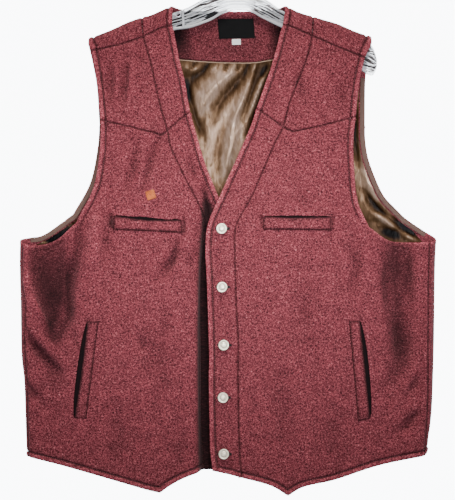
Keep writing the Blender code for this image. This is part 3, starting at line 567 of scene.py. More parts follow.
def new_piece(name, shape, material, sharp=True):
    """A piece of the scene made from a bmesh, smooth but for its sharp edges."""
    mesh = bpy.data.meshes.new(name)
    shape.to_mesh(mesh)
    shape.free()
    mesh.shade_smooth()
    if sharp:
        mesh.set_sharp_from_angle(angle=SHARP)
    mesh.materials.append(material)
    piece = bpy.data.objects.new(name, mesh)
    bpy.context.scene.collection.objects.link(piece)
    return piece


def set_values(piece, label, values):
    """One value for each point of a piece, which its material reads."""
    piece.data.attributes.new(label, "FLOAT", "POINT").data.foreach_set("value", values)


def make_cloth(name, layer, creases, grid, material, thickness=WOOL, outside=0.0,
               turned=(), armhole=(), sewn=(), pressed=SEAM_GROOVE, folds=(), shown=1):
    """A closed shell of cloth over a flat grid, its outer face `outside` off the layer.

    Its face is the outer side, or the inner one of a piece that is shown from within, -1.
    Its edges are named by how they are finished: turned, at an armhole, or sewn.
    """
    flat, drop = grid[..., 0], grid[..., 1]
    surface = layer(flat, drop)
    out = outward(layer, flat, drop)
    lift, tuck, wear, groove = edges_at(flat, drop, thickness, turned, armhole, sewn, pressed)
    height = creases_at(flat, drop, creases)
    # Painted shade and highlight: creases, broad folds and grooves darken the colour by their depth, ridges pale it,
    # and the hidden face keeps a share
    deep = height + FOLD_SHADE * folds_at(flat, drop, folds)
    hollow = np.clip(-shown * deep / HOLLOW_DEPTH + GROOVE_SHADE * groove, *HOLLOW_LIMITS)
    if shown < 0:
        height = np.minimum(height, CREASE_LIMIT)
    middle = outside - thickness / 2 + height
    outer = surface + out * (middle + thickness / 2 + (lift if shown > 0 else -tuck))[..., None]
    inner = surface + out * (middle - thickness / 2 + (tuck if shown > 0 else -lift))[..., None]

    rows, columns = grid.shape[0] - 1, grid.shape[1] - 1
    sheet = bmesh.new()
    bmesh.ops.create_grid(sheet, x_segments=columns, y_segments=rows, size=0.5)
    empty = [vert for vert in sheet.verts if np.isnan(flat[place_in_grid(vert, rows, columns)])]
    bmesh.ops.delete(sheet, geom=empty, context="VERTS")
    made = bmesh.ops.extrude_face_region(sheet, geom=sheet.faces[:], use_keep_orig=True)
    inside = {vert for vert in made["geom"] if isinstance(vert, bmesh.types.BMVert)}
    places = []
    shares = []
    for vert in sheet.verts:
        place = place_in_grid(vert, rows, columns)
        vert.co = (inner if vert in inside else outer)[place]
        places.append(place)
        shares.append(HIDDEN_SHADE if (vert in inside) == (shown > 0) else 1.0)
    bmesh.ops.recalc_face_normals(sheet, faces=sheet.faces[:])
    piece = new_piece(name, sheet, material)

    places = tuple(np.array(places).T)
    corner = np.empty(len(piece.data.loops), np.int32)
    piece.data.loops.foreach_get("vertex_index", corner)
    cut = piece.data.uv_layers.new(name="cloth")
    cut.data.foreach_set("uv", grid[places][corner].ravel())
    set_values(piece, "wear", wear[places])
    set_values(piece, "hollow", hollow[places] * shares)
    return piece


def dress(piece, slot, *nodes):
    """A piece rides on the vest's one body and stands for its solids."""
    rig.ride(piece, "root")
    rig.slot(piece, slot)
    if nodes:
        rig.replaces(piece, *nodes)
    return piece


def hang(piece, grid, rests_on, with_pieces=()):
    """The cut of a piece: its longest row and column laid flat, and its area."""
    width = np.nansum(np.hypot(*np.moveaxis(np.diff(grid, axis=1), -1, 0)), axis=1).max()
    length = np.nansum(np.hypot(*np.moveaxis(np.diff(grid, axis=0), -1, 0)), axis=0).max()
    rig.sheet(piece, flat=(float(width), float(length)), held="hung", rests_on=rests_on,
             area=flat_area(grid), with_pieces=with_pieces)


# A way off that tells one side of a seam from the other
FAR_AWAY = (3.0, 7.0)


def make_allowance(name, layer, creases, seam, material):
    """The seam allowances pressed open behind a seam, as one strip."""
    away = seam + FAR_AWAY
    strip = strip_grid(shifted(seam, away, ALLOWANCE), shifted(seam, away, -ALLOWANCE), 1,
                       steps=(len(seam) // 3, 2))
    piece = make_cloth(name, layer, creases, strip, material, ALLOWANCE_WALL,
                       -WOOL - SEAM_GAP)
    return dress(piece, "wool")


def linear(colour):
    """An sRGB hex colour as linear red, green, blue and alpha."""
    values = [int(colour[place:place + 2], 16) / 255 for place in (1, 3, 5)]
    return [v / 12.92 if v <= 0.04045 else ((v + 0.055) / 1.055) ** 2.4 for v in values] + [1.0]


def add_node(tree, kind, sockets=None, stops=(), **settings):
    """A shader node with its settings; each socket is given a value, or an output to link.

    A ramp's stops are pairs of place and colour.
    """
    node = tree.nodes.new(kind)
    for name, value in settings.items():
        setattr(node, name, value)
    if stops:
        ramp = node.color_ramp.elements
        while len(ramp) < len(stops):
            ramp.new(0.5)
        for element, (place, colour) in zip(ramp, stops):
            element.position = place
            element.color = linear(colour)
    for key, value in (sockets or {}).items():
        if isinstance(value, bpy.types.NodeSocket):
            tree.links.new(value, node.inputs[key])
        else:
            node.inputs[key].default_value = value
    return node


def new_material(name):
    """A material with its node tree, its surface and nothing linked."""
    material = bpy.data.materials.new(name)
    material.use_nodes = True
    return material, material.node_tree, material.node_tree.nodes["Principled BSDF"]


def felted_wool():
    """Felted wool, fulled and napped: matte, mottled by fibres of several dyes, with a
    soft sheen where its napped face catches the light; its edges are paled, partly worn
    and partly as a painted highlight, its ridges get a painted highlight, and its creases,
    folds and grooves are darkened as painted shade."""
    material, tree, surface = new_material("felted_wool")
    cloth = add_node(tree, "ShaderNodeUVMap", uv_map="cloth")
    # Clumps of fibre 1.1 mm wide, drawn as coarse as they show, tufts of 2.4 mm, shades of 16 mm
    fibre = add_node(tree, "ShaderNodeTexNoise", {
        "Vector": cloth.outputs["UV"], "Scale": 1 / 0.0011, "Detail": 2.0, "Roughness": 0.7})
    tuft = add_node(tree, "ShaderNodeTexNoise", {
        "Vector": cloth.outputs["UV"], "Scale": 1 / 0.0024, "Detail": 2.0, "Roughness": 0.6,
        "Distortion": 0.8})
    shade = add_node(tree, "ShaderNodeTexNoise", {
        "Vector": cloth.outputs["UV"], "Scale": 1 / 0.016, "Detail": 3.0, "Roughness": 0.6})
    mottle = add_node(tree, "ShaderNodeMath", {0: fibre.outputs[0], 1: tuft.outputs[0]},
                      operation="ADD")
    mottle = add_node(tree, "ShaderNodeMath", {0: mottle.outputs[0], 1: 0.5}, operation="MULTIPLY")
    dyes = add_node(tree, "ShaderNodeValToRGB", {"Fac": mottle.outputs[0]}, (
        (0.36, "#1a080b"), (0.45, "#4b1b21"), (0.52, "#703037"), (0.59, "#934a50"),
        (0.67, "#b87074")))
    shading = add_node(tree, "ShaderNodeMapRange", {
        "Value": shade.outputs[0], "From Min": 0.3, "From Max": 0.7, "To Min": 0.76,
        "To Max": 1.20})
    # Painted shade: the colour darkens with the depth of creases, folds and grooves, and pales on ridges as painted
    # highlight
    hollow = add_node(tree, "ShaderNodeAttribute", attribute_name="hollow")
    painted_hollow_shade = add_node(tree, "ShaderNodeMapRange", {
        "Value": hollow.outputs["Fac"], "From Min": -0.4, "From Max": 1.5, "To Min": 1.30,
        "To Max": 0.08})
    depth = add_node(tree, "ShaderNodeMath", {0: shading.outputs[0], 1: painted_hollow_shade.outputs[0]},
                     operation="MULTIPLY")
    # Partly worn and partly painted highlight: the colour pales along the edges and on their rolls
    wear = add_node(tree, "ShaderNodeAttribute", attribute_name="wear")
    rubbed_and_lit = add_node(tree, "ShaderNodeMapRange", {
        "Value": wear.outputs["Fac"], "To Min": 1.0, "To Max": 1.65})
    paled = add_node(tree, "ShaderNodeMath", {0: depth.outputs[0], 1: rubbed_and_lit.outputs[0]},
                     operation="MULTIPLY")
    shaded = add_node(tree, "ShaderNodeVectorMath", {
        0: dyes.outputs["Color"], "Scale": paled.outputs[0]}, operation="SCALE")
    tree.links.new(shaded.outputs[0], surface.inputs["Base Color"])
    relief = add_node(tree, "ShaderNodeBump", {
        "Height": mottle.outputs[0], "Strength": 0.9, "Distance": 0.0011})
    tree.links.new(relief.outputs[0], surface.inputs["Normal"])
    surface.inputs["Roughness"].default_value = 0.92
    surface.inputs["Specular IOR Level"].default_value = 0.16
    surface.inputs["Sheen Weight"].default_value = 0.10
    surface.inputs["Sheen Roughness"].default_value = 0.55
    surface.inputs["Sheen Tint"].default_value = linear("#e0b0b0")
    return material


wool = felted_wool()


def on_roll(edge, fold, sign, from_back=False):
    """An edge drawn as it is seen on a side's roll, measured along the front's cloth, or
    along the back's cloth round the side fold."""
    across, drop = edge.T
    start = fold(drop) - sign * SIDE_RADIUS
    turn = np.arcsin(np.clip(sign * (across - start) / SIDE_RADIUS, 0, 1))
    if from_back:
        return np.column_stack((start + sign * SIDE_RADIUS * (math.pi - turn), drop))
    return np.column_stack((np.where(turn > 0, start + sign * SIDE_RADIUS * turn, across), drop))


def front_drop(across, drop):
    """A drop on the front, measured along the back's cloth over the shoulder."""
    brow = shoulder_drop(across) + CREST_RADIUS
    return 2 * brow - math.pi * CREST_RADIUS - drop


def over_shoulder(seam_end, top_x):
    """An edge that leaves the forward seam and passes straight over the shoulder."""
    brow = float(shoulder_drop(top_x)) + CREST_RADIUS
    foot = (seam_end[0], float(front_drop(*seam_end)))
    before = (top_x, brow - math.pi * CREST_RADIUS)
    return join(run((foot, before), 2), run((before, (top_x, brow)), 6))


def forward_end(seam):
    """A forward seam measured along the back's cloth."""
    return np.column_stack((seam[:, 0], front_drop(seam[:, 0], seam[:, 1])))


left_forward_band = run(((0.0705, 0.1260), (0.0870, 0.1305), (0.1143, 0.1425)), 3)
left_forward_yoke = run(((0.1143, 0.1425), (0.1530, 0.1594), (0.1940, 0.1755)), 7)
right_forward_band = run(((-0.0960, 0.1260), (-0.1150, 0.1320), (-0.1395, 0.1440)), 3)
right_forward_yoke = run(((-0.1395, 0.1440), (-0.1750, 0.1560), (-0.2175, 0.1653)), 7)
left_side = run(((0.2910, 0.4530), (0.2890, 0.5400), (0.2885, 0.6900), (0.2835, 0.7745)), 11)
right_side = run(
    ((-0.3215, 0.4545), (-0.3200, 0.5025), (-0.3160, 0.5355), (-0.3170, 0.5700),
     (-0.3180, 0.6075), (-0.3145, 0.6675), (-0.3125, 0.7575), (-0.3118, 0.7762)), 11)

right_arm_leg = over_shoulder(right_forward_yoke[-1], -0.2225)
left_arm_leg = over_shoulder(left_forward_yoke[-1], 0.2045)
right_band_leg = over_shoulder(right_forward_yoke[0], -0.1415)
left_band_leg = over_shoulder(left_forward_yoke[0], 0.1160)
right_blade = run((right_arm_leg[-1], (-0.2160, 0.1850), (-0.2100, 0.2200), (-0.2064, 0.2760)), 6)
left_blade = run((left_arm_leg[-1], (0.1985, 0.1850), (0.1955, 0.2150), (0.1950, 0.2760)), 6)
back_yoke_seam = join(
    run(((-0.2064, 0.2760), (-0.1000, 0.2960), (MIDDLE, 0.3150)), 8),
    run(((MIDDLE, 0.3150), (0.0850, 0.2960), (0.1950, 0.2760)), 8))
collar_seam = join(
    right_band_leg,
    run((right_band_leg[-1], (-0.1370, 0.1390), (-0.1240, 0.1510), (-0.0850, 0.1590)), 6),
    run(((-0.0850, 0.1590), (MIDDLE, 0.1610), (0.0620, 0.1590)), 16),
    run(((0.0620, 0.1590), (0.1000, 0.1510), (0.1115, 0.1400), left_band_leg[-1]), 6),
    left_band_leg[::-1])
right_neck_foot = (right_forward_band[0][0], float(front_drop(*right_forward_band[0])))
left_neck_foot = (left_forward_band[0][0], float(front_drop(*left_forward_band[0])))
neck_edge = join(
    run((right_neck_foot, (-0.0955, 0.0790)), 2),
    run(((-0.0955, 0.0790), (-0.0940, 0.0900), (-0.0895, 0.0965), (-0.0800, 0.1005),
         (-0.0690, 0.1028)), 6),
    run(((-0.0690, 0.1028), (-0.0550, 0.1035), (-0.0400, 0.1037)), 6),
    run(((-0.0400, 0.1037), (0.0260, 0.1037)), 16),
    run(((0.0260, 0.1037), (0.0390, 0.1033), (0.0510, 0.1022)), 6),
    run(((0.0510, 0.1022), (0.0610, 0.0998), (0.0695, 0.0955), (0.0730, 0.0880),
         (0.0738, 0.0780)), 6),
    run(((0.0738, 0.0780), left_neck_foot), 2))
outer_yoke = join(
    right_arm_leg, right_blade, back_yoke_seam, left_blade[::-1], left_arm_leg[::-1])
right_back_side = on_roll(right_side, right_fold, -1, from_back=True)
left_back_side = on_roll(left_side, left_fold, 1, from_back=True)
right_back_pit = join(
    run((right_back_side[0], (-0.3335, 0.4500), (-0.3110, 0.4462)), 4),
    run(((-0.3110, 0.4462), (-0.2886, 0.4410), (-0.2467, 0.4110)), 3))
right_back_arm = run(
    ((-0.2064, 0.2760), (-0.2097, 0.3135), (-0.2210, 0.3645), (-0.2467, 0.4110)), 6)
left_back_arm = run(
    ((0.1950, 0.2760), (0.1960, 0.3015), (0.2022, 0.3330), (0.2217, 0.3795),
     (0.2420, 0.4030)), 6)
left_back_pit = join(
    run(((0.2420, 0.4030), (0.2583, 0.4185), (0.2880, 0.4385)), 3),
    run(((0.2880, 0.4385), (0.3100, 0.4490), left_back_side[0]), 4))
back_chest = run((right_back_arm[-1], (MIDDLE, 0.4300), left_back_arm[-1]), 16)
right_back_hem = run((right_back_side[-1], (-0.3220, 0.7750), (-0.3000, 0.7745),
                      (-0.2500, 0.7745)), 7)
middle_back_hem = run(((-0.2500, 0.7745), (MIDDLE, 0.7750), (0.2270, 0.7715)), 16)
left_back_hem = run(((0.2270, 0.7715), (0.2745, 0.7710), (0.2960, 0.7680), left_back_side[-1]), 7)

neck_band_grid = cloth_grid(
    neck_edge, collar_seam, forward_end(right_forward_band), forward_end(left_forward_band),
    ("end", "first", "last"))
neck_band = make_cloth(
    "neck_band_back_cloth", back_layer, (), neck_band_grid, wool, turned=[neck_edge],
    sewn=[collar_seam, forward_end(right_forward_band), forward_end(left_forward_band)])
dress(neck_band, "wool", "neck_band_back")
hang(neck_band, neck_band_grid, ["hanger_bow"])

yoke_grid = cloth_grid(
    collar_seam, outer_yoke, forward_end(right_forward_yoke), forward_end(left_forward_yoke),
    ("start", "first", "last"))
back_yoke = make_cloth(
    "back_yoke_cloth", back_layer, BACK_CREASES, yoke_grid, wool,
    turned=[join(right_arm_leg, right_blade), join(left_arm_leg, left_blade)],
    sewn=[collar_seam, back_yoke_seam, forward_end(right_forward_yoke),
          forward_end(left_forward_yoke)])
dress(back_yoke, "wool", "back_yoke")
hang(back_yoke, yoke_grid, ["hanger_bow"], [
    make_allowance("collar_allowance", back_layer, (), collar_seam[72:-72], wool)])

BACK_COLUMNS = 120
BACK_ROWS = 84
upper_back = cloth_grid(back_yoke_seam, back_chest, right_back_arm, left_back_arm, ("start",),
                        "start first last", (BACK_COLUMNS, 0))
right_line = run((right_back_arm[-1], middle_back_hem[0]), 11)
left_line = run((left_back_arm[-1], middle_back_hem[-1]), 11)
beside_right = cloth_grid(right_back_pit, right_back_hem, right_back_side, right_line,
                          ("first",), "start end first", (0, BACK_ROWS))
lower_back = beside(
    beside_right,
    cloth_grid(back_chest, middle_back_hem, right_line, left_line, (), "start end first last",
               (BACK_COLUMNS, BACK_ROWS)),
    cloth_grid(left_back_pit, left_back_hem, left_line, left_back_side, ("last",),
               "start end last", (0, BACK_ROWS)))
back_grid = stepped_grid(upper_back, lower_back, beside_right.shape[1] - 1)
back_panel = make_cloth(
    "back_panel_cloth", back_layer, BACK_CREASES, back_grid, wool,
    folds=BACK_FOLDS, turned=[right_back_hem, middle_back_hem, left_back_hem],
    armhole=[right_back_arm, right_back_pit, left_back_arm, left_back_pit],
    sewn=[back_yoke_seam, right_back_side, left_back_side])
dress(back_panel, "wool", "back_panel")
hang(back_panel, back_grid, ["back_yoke_cloth"], [
    make_allowance("back_yoke_allowance", back_layer, BACK_CREASES, back_yoke_seam, wool),
    make_allowance("right_side_allowance", back_layer, (), right_back_side[6:], wool),
    make_allowance("left_side_allowance", back_layer, (), left_back_side[6:], wool)])

# The fronts, the left one worn over the right: each a panel, a pointed yoke and a band
# in two lengths, of the same wool. The edges at the neck, the opening, the armhole and
# the hem are turned and stitched, and the seams are pressed.

# How far the left front lies proud over the right one, the drops between which it
# rises, and the places across between which it comes down again
OVERLAP_LIFT = 0.0032
OVERLAP_START = (0.25, 0.36)
OVERLAP_END = (0.005, 0.100)
# The fronts' folds, in the same columns as the back's
RIGHT_FOLDS = (
    (-0.298, 0.385, -0.272, 0.560, 0.024, -0.0115),
    (-0.321, 0.505, -0.283, 0.575, 0.008, 0.0040),
    (-0.247, 0.500, -0.252, 0.566, 0.009, -0.0050),
    (-0.210, 0.428, -0.217, 0.480, 0.011, 0.0050),
    (-0.312, 0.597, -0.272, 0.644, 0.008, -0.0050),
    (-0.316, 0.660, -0.288, 0.700, 0.008, -0.0040),
    (-0.166, 0.180, -0.172, 0.250, 0.007, -0.0030),
    (-0.189, 0.180, -0.192, 0.240, 0.007, -0.0025),
    (-0.113, 0.294, -0.140, 0.380, 0.008, -0.0035),
    (-0.149, 0.315, -0.167, 0.375, 0.008, -0.0025),
    (-0.092, 0.478, -0.113, 0.502, 0.008, -0.0030),
    (-0.147, 0.595, -0.128, 0.617, 0.008, -0.0025),
    (-0.046, 0.440, -0.045, 0.800, 0.011, -0.0085))
LEFT_FOLDS = (
    (0.246, 0.430, 0.250, 0.600, 0.020, -0.0110),
    (0.253, 0.600, 0.238, 0.657, 0.014, -0.0045),
    (0.274, 0.662, 0.262, 0.682, 0.008, -0.0030),
    (0.272, 0.715, 0.249, 0.737, 0.008, -0.0030),
    (0.178, 0.459, 0.179, 0.526, 0.009, -0.0025),
    (0.097, 0.210, 0.104, 0.245, 0.010, -0.0020),
    (0.154, 0.220, 0.160, 0.260, 0.010, -0.0020))
# The fronts' small creases, in the same columns as the back's: the deep one beside the
# overlap first, then the pockets' lips and mouths, then those of the hanging cloth
# Their depth also darkens the wool's colour as painted shade, near-black in the deep one.
RIGHT_CREASES = (
    (((-0.0400, 0.400), (-0.0420, 0.450), (-0.0440, 0.520), (-0.0440, 0.660), (-0.0435, 0.860)),
     0.0085, -0.0215, 0.0),
    (((-0.0480, 0.366), (-0.0455, 0.392), (-0.0430, 0.425)), 0.0045, -0.0070, 0.0),
    (((-0.1850, 0.4110), (-0.1330, 0.4130), (-0.0800, 0.4190)), 0.0022, 0.0022, 0.0),
    (((-0.1875, 0.410), (-0.1880, 0.420), (-0.1870, 0.436)), 0.0030, -0.0080, 0.0),
    (((-0.0790, 0.416), (-0.0785, 0.428), (-0.0795, 0.446)), 0.0022, -0.0060, 0.0),
    (((-0.2300, 0.568), (-0.2290, 0.640), (-0.2480, 0.722)), 0.0034, 0.0014, 0.0),
    (((-0.2232, 0.566), (-0.2315, 0.640), (-0.2436, 0.724)), 0.0032, -0.0050, 0.0),
    (((-0.293, 0.450), (-0.290, 0.500), (-0.283, 0.545), (-0.275, 0.600)), 0.0165, -0.0058, 0.0),
    (((-0.264, 0.450), (-0.264, 0.500), (-0.265, 0.570)), 0.0135, -0.0046, 0.0),
    (((-0.278, 0.566), (-0.277, 0.590), (-0.276, 0.610)), 0.0105, -0.0040, 0.0),
    (((-0.235, 0.408), (-0.236, 0.445), (-0.2450, 0.489), (-0.2520, 0.520)), 0.0085, -0.0044, 0.0),
    (((-0.2545, 0.490), (-0.2535, 0.530), (-0.2560, 0.570), (-0.2740, 0.606)),
     0.0060, -0.0040, -0.3),
    (((-0.308, 0.470), (-0.306, 0.490), (-0.300, 0.510)), 0.0080, -0.0020, 0.0),
    (((-0.316, 0.455), (-0.316, 0.520), (-0.317, 0.570)), 0.0060, 0.0030, 0.0),
    (((-0.321, 0.507), (-0.302, 0.545), (-0.281, 0.578)), 0.0070, 0.0042, 0.3),
    (((-0.210, 0.420), (-0.212, 0.455), (-0.218, 0.490)), 0.0080, 0.0038, 0.0),
    (((-0.321, 0.580), (-0.306, 0.603), (-0.288, 0.624), (-0.272, 0.645)), 0.0066, -0.0054, 0.3),
    (((-0.278, 0.628), (-0.274, 0.652), (-0.280, 0.690)), 0.0120, -0.0032, 0.0),
    (((-0.304, 0.585), (-0.286, 0.602), (-0.270, 0.622)), 0.0060, 0.0026, 0.0),
    (((-0.3195, 0.660), (-0.307, 0.676), (-0.2955, 0.692)), 0.0060, -0.0044, 0.3),
    (((-0.147, 0.594), (-0.141, 0.606), (-0.136, 0.618)), 0.0050, -0.0026, 0.2),
    (((-0.087, 0.450), (-0.094, 0.480), (-0.113, 0.508)), 0.0058, -0.0056, 0.3),
    (((-0.0615, 0.457), (-0.068, 0.480), (-0.061, 0.498)), 0.0060, -0.0030, 0.0),
    (((-0.142, 0.452), (-0.144, 0.470), (-0.150, 0.484)), 0.0060, -0.0018, 0.0),
    (((-0.165, 0.180), (-0.166, 0.215), (-0.172, 0.252)), 0.0050, -0.0034, 0.2),
    (((-0.190, 0.178), (-0.188, 0.210), (-0.190, 0.245)), 0.0050, -0.0030, 0.0),
    (((-0.181, 0.180), (-0.180, 0.212), (-0.182, 0.245)), 0.0050, 0.0018, 0.0),
    (((-0.157, 0.180), (-0.159, 0.215), (-0.163, 0.250)), 0.0050, 0.0016, 0.0),
    (((-0.144, 0.166), (-0.145, 0.178), (-0.143, 0.190)), 0.0060, -0.0020, 0.0),
    (((-0.114, 0.294), (-0.1215, 0.315), (-0.129, 0.338), (-0.142, 0.378)), 0.0046, -0.0034, 0.3),
    (((-0.1485, 0.312), (-0.157, 0.345), (-0.168, 0.378)), 0.0060, -0.0028, 0.0),
    (((-0.072, 0.320), (-0.066, 0.345), (-0.060, 0.366)), 0.0052, -0.0034, 0.2),
    (((-0.195, 0.420), (-0.195, 0.450), (-0.198, 0.482)), 0.0070, -0.0034, 0.0),
    (((-0.247, 0.588), (-0.243, 0.600), (-0.239, 0.612)), 0.0044, -0.0026, 0.0),
    (((-0.236, 0.640), (-0.230, 0.690), (-0.234, 0.740)), 0.0100, 0.0016, 0.0),
    (((-0.110, 0.560), (-0.118, 0.620), (-0.108, 0.690)), 0.0160, -0.0020, 0.0),
    (((-0.180, 0.700), (-0.174, 0.745), (-0.182, 0.790)), 0.0140, -0.0022, 0.0),
    (((-0.090, 0.720), (-0.084, 0.760), (-0.092, 0.805)), 0.0120, -0.0018, 0.0))
LEFT_CREASES = (
    (((0.0400, 0.4125), (0.0900, 0.4105), (0.1435, 0.4135)), 0.0022, 0.0022, 0.0),
    (((0.0385, 0.412), (0.0382, 0.424), (0.0386, 0.436)), 0.0022, -0.0050, 0.0),
    (((0.1445, 0.412), (0.1450, 0.424), (0.1444, 0.436)), 0.0022, -0.0050, 0.0),
    (((0.1930, 0.566), (0.2010, 0.640), (0.2080, 0.722)), 0.0034, 0.0014, 0.0),
    (((0.1868, 0.566), (0.1945, 0.640), (0.2020, 0.722)), 0.0032, -0.0050, 0.0),
    (((0.2400, 0.445), (0.2410, 0.490), (0.2430, 0.540)), 0.0180, -0.0050, 0.0),
    (((0.2440, 0.530), (0.2450, 0.585), (0.2490, 0.634), (0.2320, 0.672)), 0.0120, -0.0048, 0.0),
    (((0.2250, 0.480), (0.2265, 0.522), (0.2310, 0.570)), 0.0065, -0.0036, 0.3),
    (((0.2590, 0.466), (0.2600, 0.500), (0.2590, 0.540)), 0.0065, -0.0034, 0.0),
    (((0.2815, 0.440), (0.2805, 0.600), (0.2760, 0.780)), 0.0016, -0.0014, 0.0),
    (((0.274, 0.655), (0.269, 0.668), (0.262, 0.683)), 0.0056, -0.0036, 0.3),
    (((0.277, 0.708), (0.264, 0.722), (0.249, 0.737)), 0.0056, -0.0036, 0.3),
    (((0.177, 0.455), (0.180, 0.492), (0.178, 0.530)), 0.0080, -0.0028, 0.0),
    (((0.090, 0.380), (0.098, 0.387), (0.106, 0.391)), 0.0080, -0.0024, 0.0),
    (((0.142, 0.405), (0.140, 0.424), (0.141, 0.446)), 0.0060, -0.0022, 0.0),
    (((0.094, 0.200), (0.097, 0.222), (0.104, 0.245)), 0.0070, -0.0028, 0.0),
    (((0.154, 0.215), (0.157, 0.236), (0.160, 0.260)), 0.0080, -0.0026, 0.0),
    (((0.126, 0.186), (0.128, 0.214), (0.126, 0.244)), 0.0080, 0.0018, 0.0),
    (((0.060, 0.640), (0.070, 0.700), (0.066, 0.770)), 0.0140, -0.0020, 0.0),
    (((0.150, 0.700), (0.144, 0.745), (0.152, 0.790)), 0.0140, -0.0022, 0.0),
    (((0.110, 0.500), (0.102, 0.560), (0.112, 0.620)), 0.0160, -0.0018, 0.0))


def front_layer(flat, drop, folds, over):
    """Outer face of a front, worn over the other, 1, or under it, 0."""
    across, cosine = roll_sides(flat, drop)
    lift = over * OVERLAP_LIFT * rise(drop, *OVERLAP_START) * (1 - rise(across, *OVERLAP_END))
    depth = (radius_at(drop) * cosine + swell_at(across, drop, front_swell)
             + folds_at(across, drop, folds) + lift)
    return np.stack((across, -depth, -drop), axis=-1)


def right_layer(flat, drop):
    """Outer face of the right front."""
    return front_layer(flat, drop, RIGHT_FOLDS, 0)


def left_layer(flat, drop):
    """Outer face of the left front."""
    return front_layer(flat, drop, LEFT_FOLDS, 1)


# The left front's edges, from the neck outwards

left_yoke_band = run(((0.0307, 0.2527), (0.0500, 0.2655), (0.0711, 0.2808)), 3)
left_yoke_side = join(
    run(((0.0711, 0.2808), (0.0862, 0.2875)), 2),
    run(((0.0862, 0.2875), (0.1314, 0.2775), (0.1800, 0.2645)), 12))
left_neck = run(
    ((0.0705, 0.1260), (0.0660, 0.1400), (0.0600, 0.1650), (0.0510, 0.1950),
     (0.0405, 0.2250), (0.0307, 0.2527)), 7)
left_edge = join(
    run(((0.0307, 0.2527), (0.0210, 0.2820), (0.0000, 0.3300), (-0.0255, 0.3870),
         (-0.0395, 0.4180), (-0.0446, 0.4400), (-0.0460, 0.4720)), 9),
    run(((-0.0460, 0.4720), (-0.0438, 0.5100), (-0.0402, 0.6225), (-0.0408, 0.6570),
         (-0.0399, 0.7125), (-0.0388, 0.7600), (-0.0355, 0.7954)), 11))
left_seam_up = run(
    ((0.1143, 0.1425), (0.1095, 0.1661), (0.1010, 0.1920), (0.0815, 0.2420),
     (0.0711, 0.2808)), 7)
left_seam_chest = run(
    ((0.0711, 0.2808), (0.0558, 0.3105), (0.0265, 0.3790), (0.0080, 0.4120),
     (-0.0010, 0.4320), (-0.0022, 0.4600)), 9)
left_seam_waist = run(
    ((-0.0022, 0.4600), (0.0000, 0.5400), (0.0033, 0.6000), (0.0030, 0.6600),
     (0.0045, 0.7500), (0.0083, 0.8058)), 11)
left_arm_up = run(((0.1940, 0.1755), (0.1878, 0.2025), (0.1835, 0.2295), (0.1800, 0.2645)), 7)
left_arm = run(
    ((0.1800, 0.2645), (0.1765, 0.3000), (0.1773, 0.3375), (0.1827, 0.3915),
     (0.1997, 0.4305)), 9)
left_pit = run(((0.1997, 0.4305), (0.2290, 0.4500), (0.2600, 0.4537), (0.2910, 0.4530)), 5)
left_hem_band = run(((-0.0355, 0.7954), (-0.0120, 0.8005), (0.0083, 0.8058)), 3)
left_hem = join(
    run(((0.0083, 0.8058), (0.0400, 0.8140), (0.0585, 0.8210), (0.0777, 0.8333)), 4),
    run(((0.0777, 0.8333), (0.1020, 0.8199), (0.1485, 0.8095), (0.2145, 0.7885),
         (0.2835, 0.7745)), 15))

# The right front's edges, from the neck outwards

right_yoke_band = run(((-0.0687, 0.2580), (-0.0860, 0.2710), (-0.1032, 0.2862)), 3)
right_yoke_side = join(
    run(((-0.1032, 0.2862), (-0.1119, 0.2923)), 2),
    run(((-0.1119, 0.2923), (-0.1446, 0.2836), (-0.2037, 0.2692)), 12))
right_neck = run(
    ((-0.0960, 0.1260), (-0.0930, 0.1380), (-0.0848, 0.1800), (-0.0772, 0.2100),
     (-0.0720, 0.2400), (-0.0687, 0.2580)), 7)
right_edge = join(
    run(((-0.0687, 0.2580), (-0.0615, 0.2835), (-0.0465, 0.3345), (-0.0255, 0.3870),
         (-0.0150, 0.4100), (-0.0080, 0.4350), (-0.0065, 0.4650)), 9),
    run(((-0.0065, 0.4650), (-0.0060, 0.6500), (-0.0060, 0.7925)), 11))
right_seam_up = run(
    ((-0.1395, 0.1440), (-0.1336, 0.1641), (-0.1272, 0.1881), (-0.1152, 0.2427),
     (-0.1032, 0.2862)), 7)
right_seam_chest = run(
    ((-0.1032, 0.2862), (-0.0966, 0.3141), (-0.0705, 0.3687), (-0.0573, 0.3927),
     (-0.0490, 0.4145), (-0.0470, 0.4350), (-0.0478, 0.4580)), 9)
right_seam_waist = run(
    ((-0.0478, 0.4580), (-0.0490, 0.5100), (-0.0480, 0.6315), (-0.0480, 0.7245),
     (-0.0465, 0.7955)), 11)
right_arm_up = run(
    ((-0.2175, 0.1653), (-0.2122, 0.1950), (-0.2079, 0.2250), (-0.2037, 0.2692)), 7)
right_arm = run(
    ((-0.2037, 0.2692), (-0.2040, 0.2955), (-0.2055, 0.3225), (-0.2150, 0.3735),
     (-0.2416, 0.4253)), 9)
right_pit = run(
    ((-0.2416, 0.4253), (-0.2710, 0.4500), (-0.3020, 0.4580), (-0.3215, 0.4545)), 5)
right_hem_band = run(((-0.0060, 0.7925), (-0.0250, 0.7935), (-0.0465, 0.7955)), 3)
right_hem = join(
    run(((-0.0465, 0.7955), (-0.0750, 0.8055), (-0.0966, 0.8167), (-0.1140, 0.8290)), 4),
    run(((-0.1140, 0.8290), (-0.1365, 0.8238), (-0.1905, 0.8085), (-0.2565, 0.7900),
         (-0.3118, 0.7762)), 15))

FRONT_COLUMNS = 76
FRONT_ROWS = 128


